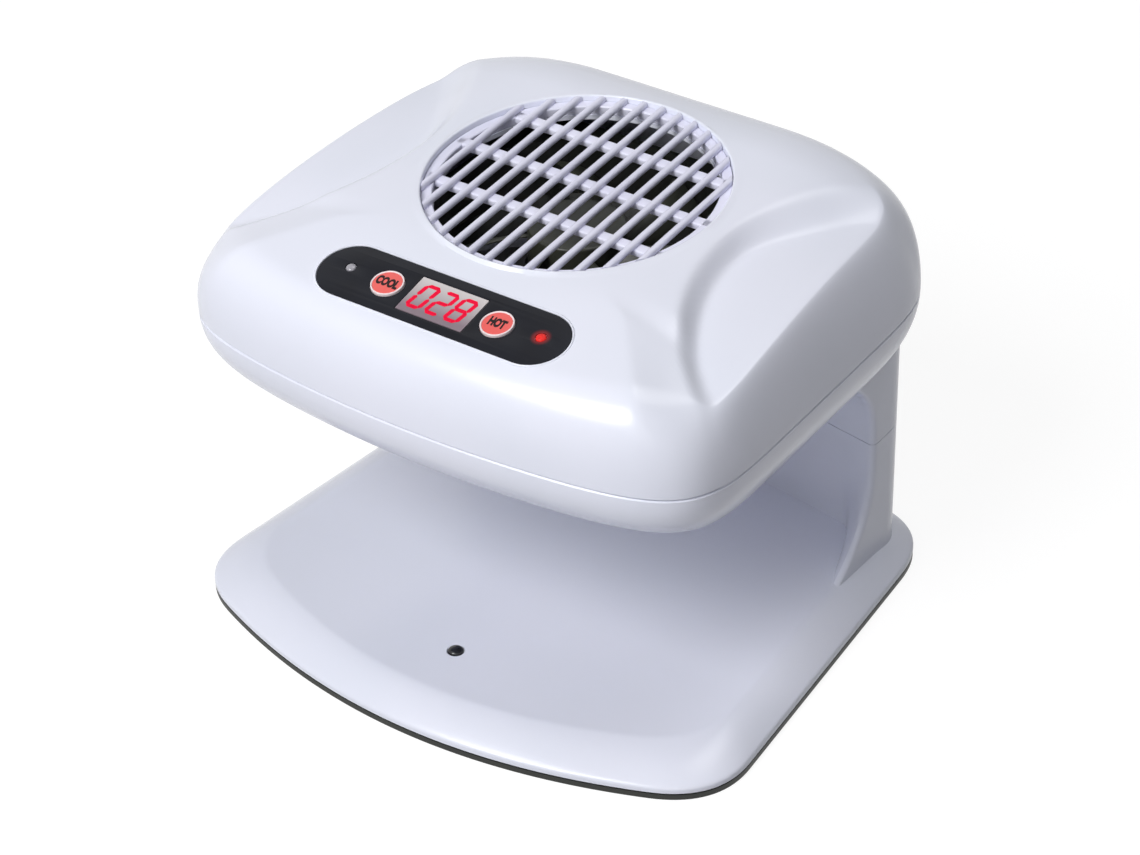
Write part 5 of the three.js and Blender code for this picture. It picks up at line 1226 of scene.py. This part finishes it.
def make_button(side, node, word):
    place = PANEL_FRAME @ moved(side * BUTTON_X)
    disc = BUTTON_RADIUS - BUTTON_RING
    flange = BUTTON_RADIUS + BUTTON_FLANGE
    edge = [disc, BUTTON_FACE - BUTTON_EDGE_DROP]
    crown = BUTTON_FACE + BUTTON_FACE_CROWN
    profile = [
        (AXIS_RADIUS, BUTTON_STEM_END),
        (BUTTON_STEM_RADIUS, BUTTON_STEM_END),
        (BUTTON_STEM_RADIUS, BUTTON_FLANGE_LOW),
        (flange, BUTTON_FLANGE_LOW),
        (flange, -BUTTON_FLANGE_DROP),
        (disc, -BUTTON_FLANGE_DROP),
        edge,
        *curve_points(edge, [disc, BUTTON_FACE], [disc - BUTTON_EDGE_WIDTH, BUTTON_FACE], BUTTON_EDGE_STEPS),
        (disc / 2, BUTTON_FACE + BUTTON_FACE_CROWN * 3 / 4),
        (AXIS_RADIUS, crown),
    ]
    cap = lathe(f"{node}_cap", profile, TURNED_STEPS, place=place)
    finish(cap, "coral", body=node, replaces=[node])
    middle = (disc + BUTTON_RADIUS) / 2
    half = BUTTON_RING / 2
    inner = disc + SAME_POINT
    springing = BUTTON_PROUD - half
    turns = [math.pi * share for share in shares(ARC_STEPS)[1:-1]]
    ring = [
        (inner, BUTTON_RING_LOW),
        (BUTTON_RADIUS, BUTTON_RING_LOW),
        (BUTTON_RADIUS, springing),
        *[(middle + half * math.cos(turn), springing + half * math.sin(turn)) for turn in turns],
        (inner, springing),
    ]
    collar = lathe(f"{node}_ring", ring, TURNED_STEPS, closed=True, place=place)
    finish(collar, "ring", body=node)
    lean = UNMOVED.copy()
    lean[0][0] = WORD_WIDTH_SHARE
    lean[0][1] = WORD_LEAN
    spot = place @ moved(0, 0, crown) @ lean
    make_word(f"{node}_word", word, spot, node)


def make_lamp(side, node, look):
    place = PANEL_FRAME @ moved(side * LAMP_X, LAMP_SHIFT)
    flange_top = LAMP_LOW + LAMP_FLANGE_HEIGHT
    shoulder = LAMP_PROUD - LAMP_DOME
    profile = [
        (AXIS_RADIUS, LAMP_LOW),
        (LAMP_FLANGE_RADIUS, LAMP_LOW),
        (LAMP_FLANGE_RADIUS, flange_top),
        (LAMP_RADIUS, flange_top),
        (LAMP_RADIUS, shoulder),
        *dome(LAMP_RADIUS, shoulder, LAMP_DOME, ARC_STEPS),
        (AXIS_RADIUS, LAMP_PROUD),
    ]
    lamp = lathe(f"{node}_lens", profile, SMALL_STEPS, place=place)
    finish(lamp, look, replaces=[node])


# Sensor
def make_sensor():
    rim = SENSOR_RADIUS + SENSOR_FLANGE
    top = BASE_TOP - BASE_WALL - GAP
    low = top - SENSOR_FLANGE_THICKNESS
    profile = [
        (AXIS_RADIUS, low),
        (rim, low),
        (rim, top),
        (SENSOR_RADIUS, top),
        (SENSOR_RADIUS, BASE_TOP),
        *dome(SENSOR_RADIUS, BASE_TOP, SENSOR_PROUD, DOME_ARC_STEPS),
        (AXIS_RADIUS, BASE_TOP + SENSOR_PROUD),
    ]
    lens = lathe("sensor_window", profile, DOME_STEPS, place=moved(0, SENSOR_Y))
    finish(lens, "lens", replaces=["sensor_lens"])


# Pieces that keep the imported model's shape
NODE_LOOKS = {
    "black": ["fan_frame", "air_duct"],
    "grille": ["outlet_grille"],
    "rubber": ["foot_1", "foot_2", "foot_3", "foot_4", "cord_gland"],
    "steel": ["thermostat"],
    "board": ["sensor_board", "control_board", "power_board"],
    "copper": ["fan_stator"],
    "mica": ["heater_frame"],
    "wire": ["heater_coil"],
    "component": ["display_module", "tact_switch_cool", "tact_switch_hot", "capacitor"],
    "laminate": ["transformer"],
    "relay": ["relay"],
    "glass": ["fuse"],
}


def dress_nodes():
    looks = {name: look for look, names in NODE_LOOKS.items() for name in names}
    looks.update({name: "steel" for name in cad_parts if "screw" in name})
    for name, look in looks.items():
        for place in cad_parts[name].material_slots:
            place.material = MATERIALS[look]


# Camera, fitted to the photograph
CAMERA_AZIMUTH = math.radians(35.945)
CAMERA_ELEVATION = math.radians(34.835)
CAMERA_ROLL = math.radians(-1.443)
CAMERA_LENS = 102.84
CAMERA_SENSOR = 36
CAMERA_DISTANCE = 1282.27
CAMERA_NEAR = 10
CAMERA_FAR = 20000
CAMERA_SHIFT = (11.651, -3.441)
CAMERA_TARGET = (0, -15.5, 90)


def make_camera():
    axes = Matrix.Rotation(CAMERA_AZIMUTH, 4, "Z") @ Matrix.Rotation(math.pi / 2 - CAMERA_ELEVATION, 4, "X")
    axes @= Matrix.Rotation(CAMERA_ROLL, 4, "Z")
    place = Vector(CAMERA_TARGET) + axes @ Vector((*CAMERA_SHIFT, CAMERA_DISTANCE))
    data = bpy.data.cameras.new("camera")
    data.sensor_width = CAMERA_SENSOR
    data.lens = CAMERA_LENS
    data.clip_start = CAMERA_NEAR * MM
    data.clip_end = CAMERA_FAR * MM
    camera = new_object("camera", data)
    camera.matrix_world = Matrix.Translation(place * MM) @ axes
    bpy.context.scene.camera = camera


# Stage and light
FLOOR_HALF_WIDTH = 3000
FLOOR_RADIANCE = 0.88
FLOOR_BOUNCE = (0.4, 0.4, 0.42, 1)
FLOOR_SHADE = (0.2, 0.2, 0.2, 1)
WORLD_LIGHT = 0.08
WORLD_TINT = (0.9, 0.92, 1, 1)
WHITE = (1, 1, 1, 1)
LIGHT_TARGET = (0, 0, 100)

# Lamps: name, place, width and power in watts
LIGHTS = [
    ("key", (-370, -1900, 1840), 1400, 54),
    ("fill", (840, -2090, 1400), 2000, 11),
    ("overhead", (250, 820, 2530), 1500, 16),
]


def shown_rays(tree):
    """One for a ray of the camera, a reflection or a transmission, and zero for the object's light"""
    rays = add_node(tree, "LightPath")
    share = rays.outputs["Is Camera Ray"]
    for kind in ("Is Glossy Ray", "Is Transmission Ray"):
        larger = add_node(tree, "Math")
        larger.operation = "MAXIMUM"
        link(share, larger, 0)
        link(rays.outputs[kind], larger, 1)
        share = larger.outputs["Value"]
    return share


def show(tree, output, lighting, seen):
    """Lets one shader light the object, and shows another one to the camera and to reflections"""
    choice = add_node(tree, "MixShader")
    link(shown_rays(tree), choice, "Fac")
    link(lighting.outputs[0], choice, 1)
    link(seen.outputs[0], choice, 2)
    link(choice.outputs["Shader"], output, "Surface")


def make_floor():
    mesh = bpy.data.meshes.new("floor")
    reach = FLOOR_HALF_WIDTH * MM
    corners = [(-reach, -reach, 0), (reach, -reach, 0), (reach, reach, 0), (-reach, reach, 0)]
    mesh.from_pydata(corners, [], [(0, 1, 2, 3)])
    floor = new_object("floor", mesh)
    material = bpy.data.materials.new("floor_white")
    material.use_nodes = True
    tree = material.node_tree
    tree.nodes.clear()
    bounce = add_node(tree, "BsdfDiffuse", Color=FLOOR_BOUNCE)
    faint = add_node(tree, "BsdfDiffuse", Color=FLOOR_SHADE)
    glow = add_node(tree, "Emission", Strength=FLOOR_RADIANCE)
    seen = add_node(tree, "AddShader")
    link(faint.outputs["BSDF"], seen, 0)
    link(glow.outputs["Emission"], seen, 1)
    show(tree, add_node(tree, "OutputMaterial"), bounce, seen)
    mesh.materials.append(material)


def make_world():
    world = bpy.data.worlds.new("studio")
    bpy.context.scene.world = world
    world.use_nodes = True
    tree = world.node_tree
    background = set_inputs(tree.nodes["Background"], Color=WORLD_TINT, Strength=WORLD_LIGHT)
    white = add_node(tree, "Background", Color=WHITE, Strength=1)
    show(tree, tree.nodes["World Output"], background, white)


def make_light(name, place, size, power_watts):
    data = bpy.data.lights.new(name, "AREA")
    data.shape = "DISK"
    data.size = size * MM
    data.energy = power_watts
    light = new_object(name, data)
    light.location = Vector(place) * MM
    aim = (Vector(LIGHT_TARGET) - Vector(place)).normalized()
    light.rotation_mode = "QUATERNION"
    light.rotation_quaternion = aim.to_track_quat("-Z", "Y")


# The object
make_camera()
make_base()
make_bottom_plate()
make_lower_cover()
make_upper_cover()
make_inlet_grille()
make_rotor()
make_label()
make_panel_bead()
make_window()
make_digits()
make_button(-1, "cool_button", "COOL")
make_button(1, "hot_button", "HOT")
make_lamp(-1, "led_cool", "lamp_off")
make_lamp(1, "led_hot", "lamp_on")
make_sensor()
dress_nodes()

# The room
make_floor()
make_world()
for light_row in LIGHTS:
    make_light(*light_row)
bpy.context.scene.view_settings.view_transform = "Standard"
